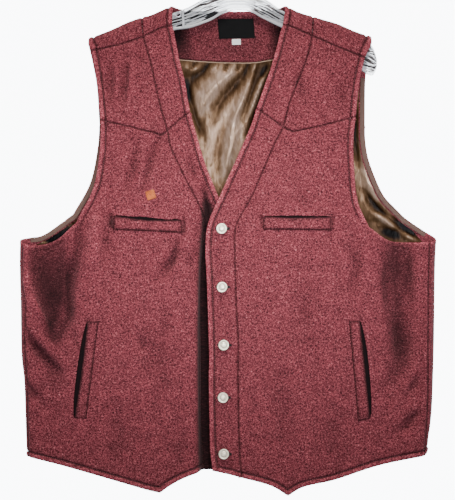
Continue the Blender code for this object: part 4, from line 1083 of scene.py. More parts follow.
def make_front(side, layer, folds, creases, fold, sign, edges):
    """The four pieces of one front, from the forward shoulder seam to the hem."""
    (forward_band, forward_yoke, yoke_band, yoke_side, neck, edge, seam_up, chest_seam,
     waist_seam, arm_up, arm, pit, side_seam, hem_band, hem) = edges
    pit, hem, side_seam = (on_roll(line, fold, sign) for line in (pit, hem, side_seam))
    split = len(yoke_side)
    inner_hem, outer_hem = hem[:split], hem[split - 1:]
    seam = join(chest_seam, waist_seam)

    upper_band = cloth_grid(forward_band, yoke_band, neck, seam_up, ("start", "end", "last"))
    piece = make_cloth(side + "_band_upper_cloth", layer, creases, upper_band, wool,
                       turned=[neck], sewn=[forward_band, yoke_band, seam_up], folds=folds)
    dress(piece, "wool", side + "_band_upper")
    hang(piece, upper_band, ["neck_band_back_cloth"], [
        make_allowance(side + "_band_allowance", layer, (), yoke_band, wool)])

    yoke = cloth_grid(forward_yoke, yoke_side[::2], seam_up, arm_up, ("start", "end", "first"))
    piece = make_cloth(side + "_front_yoke_cloth", layer, creases, yoke, wool,
                       turned=[arm_up], sewn=[forward_yoke, yoke_side, seam_up], folds=folds)
    dress(piece, "wool", side + "_front_yoke")
    hang(piece, yoke, ["back_yoke_cloth"], [
        make_allowance(side + "_shoulder_allowance", layer, (),
                       join(forward_band, forward_yoke), wool),
        make_allowance(side + "_yoke_allowance", layer, creases, yoke_side, wool)])

    band = cloth_grid(yoke_band, hem_band, edge, seam, ("start", "last"))
    piece = make_cloth(side + "_band_cloth", layer, creases, band, wool,
                       turned=[edge, hem_band], sewn=[yoke_band, seam], folds=folds)
    dress(piece, "wool", side + "_band")
    hang(piece, band, [side + "_band_upper_cloth"])

    chest = run((chest_seam[-1], arm[-1]), 14)
    divide = run((arm[-1], outer_hem[0]), 11)
    upper = cloth_grid(yoke_side, chest, chest_seam, arm, ("start", "first"),
                       "start first last", (FRONT_COLUMNS, 0))
    lower = beside(
        cloth_grid(chest, inner_hem, waist_seam, divide, ("first",), "start end first last",
                   (FRONT_COLUMNS, FRONT_ROWS)),
        cloth_grid(pit, outer_hem, divide, side_seam, ("last",), "start end last",
                   (0, FRONT_ROWS)))
    panel = stepped_grid(upper, lower)
    piece = make_cloth(side + "_front_cloth", layer, creases, panel, wool,
                       turned=[hem], armhole=[arm, pit], sewn=[yoke_side, seam, side_seam],
                       folds=folds)
    dress(piece, "wool", side + "_front")
    hang(piece, panel, [side + "_front_yoke_cloth"], [
        make_allowance(side + "_front_allowance", layer, creases, join(seam_up, seam), wool)])


make_front("left", left_layer, LEFT_FOLDS, LEFT_CREASES, left_fold, 1, (
    left_forward_band, left_forward_yoke, left_yoke_band, left_yoke_side, left_neck, left_edge,
    left_seam_up, left_seam_chest, left_seam_waist, left_arm_up, left_arm, left_pit, left_side,
    left_hem_band, left_hem))
make_front("right", right_layer, RIGHT_FOLDS, RIGHT_CREASES, right_fold, -1, (
    right_forward_band, right_forward_yoke, right_yoke_band, right_yoke_side, right_neck,
    right_edge, right_seam_up, right_seam_chest, right_seam_waist, right_arm_up, right_arm,
    right_pit, right_side, right_hem_band, right_hem))

# The topstitching along the turned edges: one row on each, sunk in the nap's groove.

STITCH_PITCH = 0.0032
STITCH_LENGTH = 0.0024
STITCH_THREAD = 0.0003


def make_stitches(cloth, layer, ends, lift):
    """Stitches lying on a layer, each between two flat points: rows of start, end."""
    points = []
    for flat in (ends[:, 0], ends[:, 1]):
        out = outward(layer, flat[:, 0], flat[:, 1])
        points.append(layer(flat[:, 0], flat[:, 1]) + out * lift[:, None])
    row = bmesh.new()
    for start, end in zip(*points):
        along = Vector(end - start)
        turn = along.to_track_quat("Z", "Y").to_matrix().to_4x4()
        size = Matrix.Diagonal((STITCH_THREAD, STITCH_THREAD, along.length / 2, 1))
        spot = Matrix.Translation(Vector((start + end) / 2))
        bmesh.ops.create_uvsphere(row, u_segments=6, v_segments=4, radius=1.0,
                                  matrix=spot @ turn @ size)
    sewn = bpy.data.meshes.new("row")
    row.to_mesh(sewn)
    row.free()
    cloth.from_mesh(sewn)
    bpy.data.meshes.remove(sewn)


def topstitch(name, layer, creases, inside, edges):
    """A row of stitches along each edge, an even way in towards a point inside."""
    stitches = bmesh.new()
    for edge in edges:
        line = shifted(edge, np.array(inside), STITCH_INSET)
        length = np.append(0, np.cumsum(np.hypot(*np.diff(line, axis=0).T)))
        middle = np.arange(STITCH_PITCH, length[-1] - STITCH_PITCH, STITCH_PITCH)
        ends = np.stack([
            np.column_stack([np.interp(middle + half, length, column) for column in line.T])
            for half in (-STITCH_LENGTH / 2, STITCH_LENGTH / 2)], axis=1)
        centre = ends.mean(axis=1)
        height = creases_at(centre[:, 0], centre[:, 1], creases)
        make_stitches(stitches, layer, ends, height - STITCH_DEPTH + STITCH_THREAD)
    dress(new_piece(name, stitches, wool_thread, sharp=False), "wool")


def sewing_thread(name, colour, pale, gloss):
    """Twisted thread, whose plies show as fine bands."""
    material, tree, surface = new_material(name)
    place = add_node(tree, "ShaderNodeTexCoord")
    plies = add_node(tree, "ShaderNodeTexNoise", {
        "Vector": place.outputs["Object"], "Scale": 1 / 0.0007, "Detail": 2.0})
    tone = add_node(tree, "ShaderNodeMix", {
        0: plies.outputs[0], 6: linear(colour), 7: linear(pale)}, data_type="RGBA")
    tree.links.new(tone.outputs[2], surface.inputs["Base Color"])
    surface.inputs["Roughness"].default_value = gloss
    return material


wool_thread = sewing_thread("burgundy_polyester_thread", "#3c1218", "#7c4048", 0.5)
topstitch("left_front_topstitch", left_layer, LEFT_CREASES, (0.110, 0.500), (
    left_neck, left_edge, left_hem_band, left_hem[:-14], left_arm_up, left_arm[:-10]))
topstitch("right_front_topstitch", right_layer, RIGHT_CREASES, (-0.140, 0.500), (
    right_neck, right_edge[:40], right_hem, right_arm_up, right_arm[:-10]))
topstitch("back_topstitch", back_layer, BACK_CREASES, (MIDDLE, 0.500), (
    neck_edge, right_blade, left_blade, right_back_arm, left_back_arm, right_back_hem,
    middle_back_hem, left_back_hem))

# Inside the back, below the neck: a facing of the same wool, whose lower edge is piped
# with pale cord, and on it a bare black woven label with a white tab folded under it.

FACING = 0.0015
PIPING_RADIUS = 0.0010
PIPING_DROP = 0.0004
PIPING_DEPTH = 0.0002
LABEL = 0.0006
TAB = 0.0005
# How far apart the bands of a wave pattern are at a scale of 1
WAVE_PITCH = 0.3142
# A direction in which no cord here runs
ODD_WAY = (0.13, 0.97, 0.21)
LABEL_CORNERS = ((-0.0280, 0.1162), (0.0265, 0.1157), (0.0290, 0.1445), (-0.0255, 0.1460))
TAB_CORNERS = ((-0.0060, 0.1462), (0.0072, 0.1460), (0.0074, 0.1545), (-0.0058, 0.1548))
# The facing's folds, in the same columns as the back's; what is raised towards the back is positive
# The raised ones rise no further than CREASE_LIMIT and are mostly painted shade: the two at the sides and the one
# along the top paint shadows on the facing, and the broad one darkens it all
FACING_CREASES = (
    (((-0.0585, 0.120), (-0.0600, 0.150), (-0.0570, 0.176)), 0.006, -0.0022, 0.4),
    (((0.0420, 0.120), (0.0440, 0.150), (0.0400, 0.176)), 0.006, -0.0020, -0.4),
    (((-0.0300, 0.158), (0.0000, 0.163), (0.0300, 0.160)), 0.008, 0.0010, 0.0),
    (((-0.1200, 0.150), (-0.0100, 0.150), (0.1000, 0.150)), 0.060, 0.0026, 0.0),
    (((-0.0920, 0.100), (-0.0900, 0.140), (-0.0860, 0.190)), 0.022, 0.0070, 0.0),
    (((0.0700, 0.100), (0.0690, 0.140), (0.0670, 0.190)), 0.020, 0.0070, 0.0),
    (((-0.0700, 0.112), (-0.0100, 0.106), (0.0500, 0.112)), 0.010, 0.0046, 0.0))


def plain_weave(name, colour, pale, thread, gloss=0.4):
    """Narrow woven goods, such as a label or a tape: fine threads over and under each other."""
    material, tree, surface = new_material(name)
    cloth = add_node(tree, "ShaderNodeUVMap", uv_map="cloth")
    warp = add_node(tree, "ShaderNodeTexWave", {
        "Vector": cloth.outputs["UV"], "Scale": WAVE_PITCH / thread, "Distortion": 0.6,
        "Detail": 1.0}, bands_direction="X")
    weft = add_node(tree, "ShaderNodeTexWave", {
        "Vector": cloth.outputs["UV"], "Scale": WAVE_PITCH / thread, "Distortion": 0.6,
        "Detail": 1.0}, bands_direction="Y")
    weave = add_node(tree, "ShaderNodeMath", {0: warp.outputs["Fac"], 1: weft.outputs["Fac"]},
                     operation="MULTIPLY")
    shade = add_node(tree, "ShaderNodeMix", {
        0: weave.outputs[0], 6: linear(colour), 7: linear(pale)}, data_type="RGBA")
    tree.links.new(shade.outputs[2], surface.inputs["Base Color"])
    relief = add_node(tree, "ShaderNodeBump", {
        "Height": weave.outputs[0], "Strength": 0.6, "Distance": thread / 3})
    tree.links.new(relief.outputs[0], surface.inputs["Normal"])
    surface.inputs["Roughness"].default_value = 0.75
    surface.inputs["Specular IOR Level"].default_value = gloss
    return material


def make_tube(name, path, radius, material, sides=8):
    """A round cord along a path of points in space, closed at its ends."""
    path = np.array(path, float)
    along = np.gradient(path, axis=0)
    along /= np.linalg.norm(along, axis=1, keepdims=True)
    aside = np.cross(along, ODD_WAY)
    aside /= np.linalg.norm(aside, axis=1, keepdims=True)
    above = np.cross(along, aside)
    turn = np.linspace(0, 2 * math.pi, sides + 1)
    rings = (path[:, None] + radius * (np.cos(turn)[None, :, None] * aside[:, None]
                                       + np.sin(turn)[None, :, None] * above[:, None]))
    return make_skin(name, rings, material)


def make_skin(name, rings, material):
    """A closed skin over rings of points, each ring ending where it began."""
    rows, columns = rings.shape[0] - 1, rings.shape[1] - 1
    skin = bmesh.new()
    bmesh.ops.create_grid(skin, x_segments=columns, y_segments=rows, size=0.5)
    for vert in skin.verts:
        vert.co = rings[place_in_grid(vert, rows, columns)]
    bmesh.ops.remove_doubles(skin, verts=skin.verts[:], dist=WELD)
    bmesh.ops.holes_fill(skin, edges=skin.edges[:])
    bmesh.ops.recalc_face_normals(skin, faces=skin.faces[:])
    return new_piece(name, skin, material)


def four_sided(corners, steps, rings=""):
    """A flat grid between four corners, given round from the upper right one."""
    first, second, third, fourth = (np.array(corner, float) for corner in corners)
    return strip_grid(run((first, second), 2), run((fourth, third), 2), 2, rings, steps)


facing_top = run(((-0.0990, 0.1160), (-0.0850, 0.1150), (MIDDLE, 0.1150), (0.0650, 0.1150),
                  (0.0810, 0.1160)), 12)
facing_foot = run(
    ((-0.1000, 0.1758), (-0.0855, 0.1770), (-0.0465, 0.1800), (-0.0090, 0.1815),
     (0.0285, 0.1813), (0.0525, 0.1777), (0.0820, 0.1745)), 12)
facing_grid = strip_grid(facing_top, facing_foot, 4, "end")
facing_depth = -WOOL - LAP_GAP
facing = make_cloth("neck_facing_cloth", back_layer, FACING_CREASES, facing_grid, wool, FACING,
                    facing_depth, sewn=[facing_foot], shown=-1)
dress(facing, "wool", "neck_facing")

pale_cord = plain_weave("piping_cord", "#8c7460", "#c9b49c", 0.0008)
piping_line = (facing_foot + (0.0, PIPING_DROP)).T
piping_path = (back_layer(*piping_line)
               + outward(back_layer, *piping_line) * (facing_depth - FACING - PIPING_DEPTH))
piping = make_tube("facing_piping", piping_path, PIPING_RADIUS, pale_cord)
dress(piping, "tape")
hang(facing, facing_grid, ["neck_band_back_cloth"], [piping])

label_depth = -WOOL - LAP_GAP - FACING - SEAM_GAP
black_weave = plain_weave("black_label_weave", "#020202", "#0a0a0b", 0.0005, 0.15)
white_weave = plain_weave("white_tab_weave", "#d9d9d4", "#f7f7f2", 0.0005)
label_grid = four_sided(LABEL_CORNERS, (24, 14), "start end first last")
label = make_cloth("label_cloth", back_layer, FACING_CREASES, label_grid, black_weave, LABEL,
                   label_depth, shown=-1)
dress(label, "label", "label")
tab_grid = four_sided(TAB_CORNERS, (6, 6))
tab = make_cloth("size_tab_cloth", back_layer, FACING_CREASES, tab_grid, white_weave, TAB,
                 label_depth - LABEL, shown=-1)
dress(tab, "tab", "size_tab")
hang(label, label_grid, ["neck_facing_cloth"], [tab])

# The back's lining, of brown satin gathered a little into the facing's seam and hanging
# in loose folds down to the hem, and the twill tape that binds each armhole's back edge.

SATIN = 0.0010
LINING_GAP = 0.0024
LINING_INSET = 0.0095
BINDING_INSET = 0.0010
BINDING_WIDTH = 0.0065
LINING_COLUMNS = 150
LINING_ROWS = 170
# The lining's folds, in the same columns as the back's: what is raised to the body is negative
# The positive ones rise no further than CREASE_LIMIT and are mostly painted shade, near-black in the pockets beside
# the neck and the armholes; the negative ones are folds that also get painted highlight
LINING_CREASES = (
    (((-0.010, 0.205), (-0.014, 0.260), (-0.020, 0.400)), 0.0700, -0.0045, 0.0),
    (((-0.200, 0.280), (-0.215, 0.380), (-0.265, 0.440)), 0.0240, -0.0030, 0.0),
    (((0.182, 0.260), (0.200, 0.370), (0.255, 0.430)), 0.0240, -0.0040, 0.0),
    (((-0.044, 0.184), (-0.058, 0.200), (-0.074, 0.218)), 0.0060, 0.0036, 0.2),
    (((-0.082, 0.186), (-0.062, 0.191), (-0.046, 0.186)), 0.0060, -0.0040, 0.0),
    (((0.010, 0.186), (-0.020, 0.206), (-0.044, 0.232), (-0.058, 0.262)), 0.0130, -0.0062, 0.2),
    (((0.018, 0.190), (-0.002, 0.218), (-0.022, 0.242), (-0.036, 0.275)), 0.0075, 0.0038, 0.3),
    (((0.026, 0.200), (0.012, 0.236), (0.002, 0.258), (-0.012, 0.300)), 0.0050, -0.0056, 0.2),
    (((0.040, 0.186), (0.030, 0.212), (0.018, 0.244), (0.008, 0.272)), 0.0060, 0.0036, 0.2),
    (((0.051, 0.184), (0.041, 0.206), (0.031, 0.232), (0.020, 0.262)), 0.0045, -0.0050, 0.2),
    (((0.062, 0.184), (0.053, 0.206), (0.042, 0.236), (0.030, 0.262), (0.018, 0.290)),
     0.0050, 0.0095, 0.0),
    (((0.048, 0.184), (0.043, 0.194), (0.037, 0.206)), 0.0036, 0.0070, 0.0),
    (((-0.078, 0.206), (-0.0735, 0.222), (-0.0700, 0.246)), 0.0045, 0.0085, 0.0),
    (((-0.0665, 0.236), (-0.062, 0.262), (-0.052, 0.292)), 0.0045, 0.0052, 0.0),
    (((-0.040, 0.180), (-0.046, 0.190), (-0.052, 0.199)), 0.0026, 0.0046, 0.0),
    (((-0.028, 0.180), (-0.032, 0.189), (-0.040, 0.196)), 0.0022, -0.0034, 0.0),
    (((0.020, 0.180), (0.016, 0.190), (0.012, 0.200)), 0.0026, 0.0046, 0.0),
    (((-0.012, 0.180), (-0.015, 0.190), (-0.020, 0.197)), 0.0024, 0.0048, 0.0),
    (((0.005, 0.180), (0.003, 0.189), (-0.001, 0.196)), 0.0024, 0.0044, 0.0),
    (((-0.062, 0.180), (-0.066, 0.188), (-0.072, 0.194)), 0.0024, 0.0044, 0.0),
    (((0.030, 0.180), (0.027, 0.191), (0.025, 0.197)), 0.0022, -0.0036, 0.0),
    (((-0.048, 0.250), (-0.050, 0.275), (-0.046, 0.310)), 0.0046, 0.0022, 0.3),
    (((-0.014, 0.270), (-0.026, 0.310), (-0.030, 0.350)), 0.0070, 0.0026, 0.0),
    (((0.006, 0.275), (-0.008, 0.312), (-0.018, 0.355)), 0.0060, -0.0044, 0.3),
    (((-0.205, 0.290), (-0.213, 0.360), (-0.235, 0.410)), 0.0060, 0.0060, 0.0),
    (((-0.196, 0.300), (-0.202, 0.360), (-0.222, 0.412)), 0.0050, -0.0040, 0.0),
    (((-0.186, 0.300), (-0.192, 0.370), (-0.214, 0.430)), 0.0060, 0.0060, 0.0),
    (((-0.240, 0.430), (-0.268, 0.448), (-0.300, 0.456)), 0.0090, 0.0090, 0.0),
    (((-0.302, 0.450), (-0.290, 0.454), (-0.280, 0.457)), 0.0040, -0.0070, 0.0),
    (((0.178, 0.250), (0.183, 0.310), (0.198, 0.360)), 0.0060, 0.0060, 0.2),
    (((0.187, 0.290), (0.194, 0.346), (0.214, 0.388)), 0.0050, -0.0050, 0.0),
    (((0.196, 0.376), (0.212, 0.398), (0.232, 0.416)), 0.0050, 0.0070, 0.3),
    (((0.210, 0.410), (0.226, 0.420), (0.244, 0.436)), 0.0044, -0.0056, 0.0),
    (((0.222, 0.436), (0.236, 0.440), (0.250, 0.446)), 0.0060, 0.0080, 0.0),
    (((0.238, 0.418), (0.256, 0.432), (0.276, 0.446)), 0.0050, 0.0080, 0.0),
    (((0.252, 0.440), (0.262, 0.446), (0.276, 0.452)), 0.0040, -0.0040, 0.0),
    (((-0.120, 0.420), (-0.112, 0.520), (-0.126, 0.620), (-0.118, 0.740)), 0.0120, -0.0050, 0.2),
    (((0.070, 0.420), (0.078, 0.520), (0.066, 0.640), (0.074, 0.740)), 0.0120, -0.0050, -0.2),
    (((-0.020, 0.460), (-0.028, 0.560), (-0.016, 0.660), (-0.024, 0.745)), 0.0110, -0.0040, 0.0))


def lining_satin():
    """Warp-faced polyester satin: smooth and a little metallic; its colour is painted
    pale as highlight on the folds which stand out and near-black as shade in the pockets between them."""
    material, tree, surface = new_material("lining_satin")
    cloth = add_node(tree, "ShaderNodeUVMap", uv_map="cloth")
    stretch = add_node(tree, "ShaderNodeMapping", {"Vector": cloth.outputs["UV"],
                                                   "Scale": (2.6, 1.0, 1.0)})
    pucker = add_node(tree, "ShaderNodeTexNoise", {
        "Vector": stretch.outputs[0], "Scale": 1 / 0.014, "Detail": 3.0, "Distortion": 0.5})
    hollow = add_node(tree, "ShaderNodeAttribute", attribute_name="hollow")
    puckers_and_painted_light = add_node(tree, "ShaderNodeMath", {
        0: pucker.outputs[0], 1: 0.9, 2: hollow.outputs["Fac"]}, operation="MULTIPLY_ADD")
    depth = add_node(tree, "ShaderNodeMapRange", {
        "Value": puckers_and_painted_light.outputs[0], "From Min": -0.55, "From Max": 2.00})
    # Painted light and shade: puckers and the depth of the folds set the colour, from a pale painted highlight to
    # near-black painted shade
    tone = add_node(tree, "ShaderNodeValToRGB", {"Fac": depth.outputs[0]}, (
        (0.0, "#a38b7a"), (0.12, "#806855"), (0.23, "#5c4531"), (0.38, "#3a2717"),
        (0.56, "#150b05"), (0.72, "#020101")))
    tree.links.new(tone.outputs["Color"], surface.inputs["Base Color"])
    relief = add_node(tree, "ShaderNodeBump", {
        "Height": pucker.outputs[0], "Strength": 0.35, "Distance": 0.0030})
    tree.links.new(relief.outputs[0], surface.inputs["Normal"])
    surface.inputs["Roughness"].default_value = 0.36
    surface.inputs["Metallic"].default_value = 0.28
    surface.inputs["Specular IOR Level"].default_value = 0.05
    surface.inputs["Sheen Weight"].default_value = 0.03
    surface.inputs["Sheen Tint"].default_value = linear("#e6d2c0")
    return material


right_back_edge = join(
    run(((-0.2120, 0.2050), (-0.2085, 0.2350), (-0.2064, 0.2760)), 3),
    right_back_arm, right_back_pit[4 * DETAIL:][::-1])
left_back_edge = join(
    run(((0.1960, 0.2050), (0.1953, 0.2350), (0.1950, 0.2760)), 3),
    left_back_arm, left_back_pit[:-4 * DETAIL])
# A point inside the back, to tell which way an armhole's edge moves in
inwards = np.array((MIDDLE, 0.60))


def lining_side(top, edge, side):
    """One side of the lining: a little inside the armhole's edge, then down the side."""
    inner = shifted(edge, inwards, LINING_INSET)[:-DETAIL]
    return join(run((*top, inner[0]), 2), inner, run((inner[-1], side[0]), 1), run(side, 11))


satin = lining_satin()
right_lining = lining_side(((-0.2020, 0.1795), (-0.2015, 0.1950)), right_back_edge,
                           ((-0.3080, 0.4600), (-0.3060, 0.6200), (-0.2990, 0.7600)))
left_lining = lining_side(((0.1860, 0.1795), (0.1860, 0.1950)), left_back_edge,
                          ((0.2840, 0.4560), (0.2825, 0.6200), (0.2735, 0.7560)))
lining_top = run(
    ((-0.2020, 0.1795), (-0.1000, 0.1768), (-0.0855, 0.1778), (-0.0465, 0.1808),
     (-0.0090, 0.1823), (0.0285, 0.1821), (0.0525, 0.1785), (0.0820, 0.1755),
     (0.1860, 0.1795)), 18)
lining_hem = run(((-0.2990, 0.7600), (MIDDLE, 0.7600), (0.2735, 0.7560)), 18)
lining_grid = cloth_grid(lining_top, lining_hem, right_lining, left_lining, (), "",
                         (LINING_COLUMNS, LINING_ROWS))
lining = make_cloth("back_lining_cloth", back_layer, LINING_CREASES, lining_grid, satin, SATIN,
                    -WOOL - LINING_GAP, shown=-1)
dress(lining, "satin", "back_lining")

brown_tape = plain_weave("armhole_twill_tape", "#4a342c", "#8a6c5e", 0.0010)


def make_binding(name, edge, node):
    """Tape along the inside of an armhole's back edge."""
    outer = shifted(edge, inwards, BINDING_INSET)
    inner = shifted(edge, inwards, BINDING_INSET + BINDING_WIDTH)
    strip = strip_grid(outer, inner, 1, steps=(len(edge) - 1, 4))
    tape = make_cloth(name, back_layer, (), strip, brown_tape, SATIN, -WOOL - LAP_GAP, shown=-1)
    return dress(tape, "tape", node)


tapes = [make_binding("right_armhole_tape", right_back_edge, "right_armhole_binding"),
         make_binding("left_armhole_tape", left_back_edge, "left_armhole_binding")]
hang(lining, lining_grid, ["neck_facing_cloth"], tapes)

# The pockets: a chest welt across each front and a slanted one below it, each a folded
# strip of wool sewn on at its foot and its ends, with the pocket cloth in its mouth, nearly black as painted shade.

WELT = 0.0012
POCKETING = 0.0003
WELT_TOP = POCKETING + 2 * SEAM_GAP + WELT
# How wide the painted shade is along a welt's seams
WELT_GROOVE = 0.0030
# How far the pocket cloth goes down behind the welt, and a power, which is lower the
# blunter the mouth's ends are
POCKETING_DEPTH = 0.004
MOUTH_BLUNTNESS = 0.6
# Welts: name, layer, the mouth's edge, the foot's edge, how wide the mouth gapes
WELTS = (
    ("left_chest", left_layer,
     ((0.0410, 0.4150), (0.0900, 0.4168), (0.1425, 0.4155)),
     ((0.0400, 0.4345), (0.1425, 0.4355)), 0.0036),
    ("right_chest", right_layer,
     ((-0.1830, 0.4140), (-0.1300, 0.4205), (-0.0815, 0.4205)),
     ((-0.1838, 0.4345), (-0.0803, 0.4395)), 0.0046),
    ("left_side", left_layer,
     ((0.1857, 0.5710), (0.1934, 0.6440), (0.2010, 0.7175)),
     ((0.1690, 0.5718), (0.1827, 0.7222)), 0.0064),
    ("right_side", right_layer,
     ((-0.2222, 0.5718), (-0.2310, 0.6440), (-0.2420, 0.7175)),
     ((-0.2055, 0.5718), (-0.2243, 0.7185)), 0.0074))


def make_welt(name, layer, mouth, foot, gape):
    """A welt and the strip of pocket cloth that shows in its mouth."""
    mouth, foot = run(mouth, 8), run(foot, 8)
    ends = [run((mouth[place], foot[place]), 2) for place in (0, -1)]
    grid = strip_grid(mouth, foot, 2, "start end", (36, 3))
    welt = make_cloth(name + "_welt_cloth", layer, (), grid, wool, WELT, WELT_TOP,
                      sewn=[mouth, foot, *ends], pressed=WELT_GROOVE)
    dress(welt, "wool", name + "_welt")
    along = np.linspace(0, 1, len(mouth))[:, None]
    towards = (mouth - foot) / np.hypot(*(mouth - foot).T)[:, None]
    lip = mouth + towards * gape * (4 * along * (1 - along)) ** MOUTH_BLUNTNESS
    slit = strip_grid(lip, mouth - towards * POCKETING_DEPTH, 1, steps=(36, 4))
    bag = make_cloth(name + "_pocketing", layer, (), slit, pocketing, POCKETING,
                     POCKETING + SEAM_GAP)
    dress(bag, "tape")
    hang(welt, grid, [name.split("_")[0] + "_front_cloth"], [bag])


# Twilled cotton for pocket bags, dark, and made nearly black as the painted shade of the pocket's mouth
pocketing = plain_weave("pocketing_twill", "#0b0405", "#1c0c0e", 0.0009, 0.1)
for welt in WELTS:
    make_welt(*welt)

# The mark on the right chest: a plain little diamond in orange satin stitch.

MOTIF_PLACE = (-0.1275, 0.3825)
MOTIF_HALF = (0.0100, 0.0090)
MOTIF_LEAN = math.radians(28)
MOTIF_ROWS = 37
MOTIF_LIFT = 0.0011
# The share of the height that the rows fill, and half the length of a row at a point
MOTIF_REACH = 0.94
MOTIF_TIP = 0.0008


def make_motif():
    """Rows of thread side by side, as wide as the diamond is there."""
    rows = np.linspace(-MOTIF_REACH, MOTIF_REACH, MOTIF_ROWS)
    half = MOTIF_HALF[0] * (1 - np.abs(rows)) + MOTIF_TIP
    across = np.column_stack((-half, half))
    above = np.column_stack((rows, rows)) * MOTIF_HALF[1]
    lean, rise_up = math.cos(MOTIF_LEAN), math.sin(MOTIF_LEAN)
    ends = np.stack((MOTIF_PLACE[0] + across * lean - above * rise_up,
                     MOTIF_PLACE[1] + across * rise_up + above * lean), axis=-1)
    stitches = bmesh.new()
    make_stitches(stitches, right_layer, ends, np.full(len(rows), MOTIF_LIFT))
    dress(new_piece("chest_diamond", stitches, orange_thread, sharp=False), "wool")


orange_thread = sewing_thread("orange_rayon_thread", "#9c3c10", "#d8792e", 0.4)
make_motif()

# The buttons: five die-cast ones with a domed cap, a rolled rim and a shank under it,
# in satin nickel, and on the band the keyhole buttonholes that they pass through.

BUTTON_PROFILE = (
    (0.00000, 0.00462), (0.00120, 0.00460), (0.00240, 0.00450), (0.00330, 0.00430),
    (0.00385, 0.00400), (0.00420, 0.00360), (0.00445, 0.00338), (0.00480, 0.00330),
    (0.00530, 0.00340), (0.00590, 0.00362), (0.00650, 0.00380), (0.00710, 0.00386),
    (0.00765, 0.00370), (0.00800, 0.00336), (0.00818, 0.00290), (0.00820, 0.00250),
    (0.00806, 0.00200), (0.00770, 0.00160), (0.00700, 0.00140), (0.00360, 0.00110),
    (0.00320, 0.00090), (0.00320, 0.00000), (0.00000, 0.00000))
BUTTON_SIDES = 40
BUTTONS = (
    (-0.0215, 0.4329), (-0.0209, 0.5203), (-0.0185, 0.6070), (-0.0195, 0.6855),
    (-0.0183, 0.7699))
# Painted shade: its share, radius and width in the groove round the dome's foot, and the radii
# between which it darkens the whole rim as a painted shadow outline
DOME_SHADE = (0.35, 0.0047, 0.0006)
RIM_SHADE = (0.0074, 0.0080)
HOLE_LENGTH = 0.0205
HOLE_SHIFT = 0.0012
HOLE_HALF = 0.0010
EYE_RADIUS = 0.0017
OVERCAST_RADIUS = 0.0010
OVERCAST_LIFT = 0.0002


def satin_nickel():
    """Nickel plate, tumbled to a soft satin, with shade painted in the groove round the dome and a painted shadow
    darkening the rim.
    """
    material, tree, surface = new_material("satin_nickel")
    place = add_node(tree, "ShaderNodeTexCoord")
    smear = add_node(tree, "ShaderNodeTexNoise", {
        "Vector": place.outputs["Object"], "Scale": 1 / 0.0020, "Detail": 3.0})
    tone = add_node(tree, "ShaderNodeMix", {
        0: smear.outputs[0], 6: linear("#d8c8a2"), 7: linear("#fff8e6")}, data_type="RGBA")
    # Painted shade in the groove round the dome and a painted shadow on the rim
    tarnish = add_node(tree, "ShaderNodeAttribute", attribute_name="tarnish")
    tone = add_node(tree, "ShaderNodeMix", {
        0: tarnish.outputs["Fac"], 6: tone.outputs[2], 7: linear("#120a08")}, data_type="RGBA")
    tree.links.new(tone.outputs[2], surface.inputs["Base Color"])
    surface.inputs["Metallic"].default_value = 0.55
    surface.inputs["Roughness"].default_value = 0.42
    relief = add_node(tree, "ShaderNodeBump", {
        "Height": smear.outputs[0], "Strength": 0.25, "Distance": 0.0003})
    tree.links.new(relief.outputs[0], surface.inputs["Normal"])
    return material


def turned_profile(profile, steps):
    """A shape turned from a profile of radius and height."""
    turned = bmesh.new()
    corners = [turned.verts.new((radius, 0, height)) for radius, height in profile]
    edges = [turned.edges.new(pair) for pair in zip(corners[:-1], corners[1:])]
    bmesh.ops.spin(turned, geom=corners + edges, cent=(0, 0, 0), axis=(0, 0, 1),
                   angle=2 * math.pi, steps=steps, use_merge=True)
    bmesh.ops.remove_doubles(turned, verts=turned.verts[:], dist=WELD)
    bmesh.ops.recalc_face_normals(turned, faces=turned.faces[:])
    return turned


def make_button(name, spot, node):
    """A button turned from its profile and set square to the cloth."""
    turned = turned_profile(BUTTON_PROFILE, BUTTON_SIDES)
    reach = np.array([math.hypot(vert.co.x, vert.co.y) for vert in turned.verts])
    share, radius, width = DOME_SHADE
    tarnish = share * np.exp(-((reach - radius) / width) ** 2) + rise(reach, *RIM_SHADE)
    out = outward(left_layer, *spot)
    lean = Euler((math.acos(out[2]), 0, math.atan2(out[0], -out[1]))).to_matrix().to_4x4()
    seat = Vector(left_layer(*spot) + out * SEAM_GAP)
    bmesh.ops.transform(turned, matrix=Matrix.Translation(seat) @ lean, verts=turned.verts[:])
    button = new_piece(name, turned, nickel, sharp=False)
    set_values(button, "tarnish", tarnish)
    dress(button, "nickel", node)


def make_buttonhole(name, spot):
    """A keyhole buttonhole, overcast in dark thread, with its eye beyond the button."""
    turn = np.linspace(0, 2 * math.pi, 49)
    eye = rise(np.cos(turn), 0.2, 1.0)
    aside = 0.5 * HOLE_LENGTH * np.cos(turn) + HOLE_SHIFT
    above = np.sin(turn) * (HOLE_HALF + (EYE_RADIUS - HOLE_HALF) * eye)
    flat, drop = spot[0] + aside, spot[1] + above
    line = left_layer(flat, drop) + outward(left_layer, flat, drop) * OVERCAST_LIFT
    dress(make_tube(name, line, OVERCAST_RADIUS, dark_thread, 6), "wool")


nickel = satin_nickel()
dark_thread = plain_weave("overcast_thread", "#060202", "#1a0a0c", 0.0006)
for number, spot in enumerate(BUTTONS, start=1):
    spot = np.array(spot[0]), np.array(spot[1])
    make_button("button_%d_turned" % number, spot, "button_%d" % number)
    make_buttonhole("buttonhole_%d" % number, spot)

# The hanger: a clear polystyrene bow, an I-beam with ribs along its web and a notch
# beside the neck, and its hook of bent steel wire, which stays as it was modelled.

# Half depths of the flanges, the ribs and the web, and the room between bow and cloth
BAR_HALF = 0.0042
BAR_RIB = 0.0034
BAR_ROUND = 0.0032
BAR_WEB = 0.0012
BAR_CLEARANCE = 0.0017
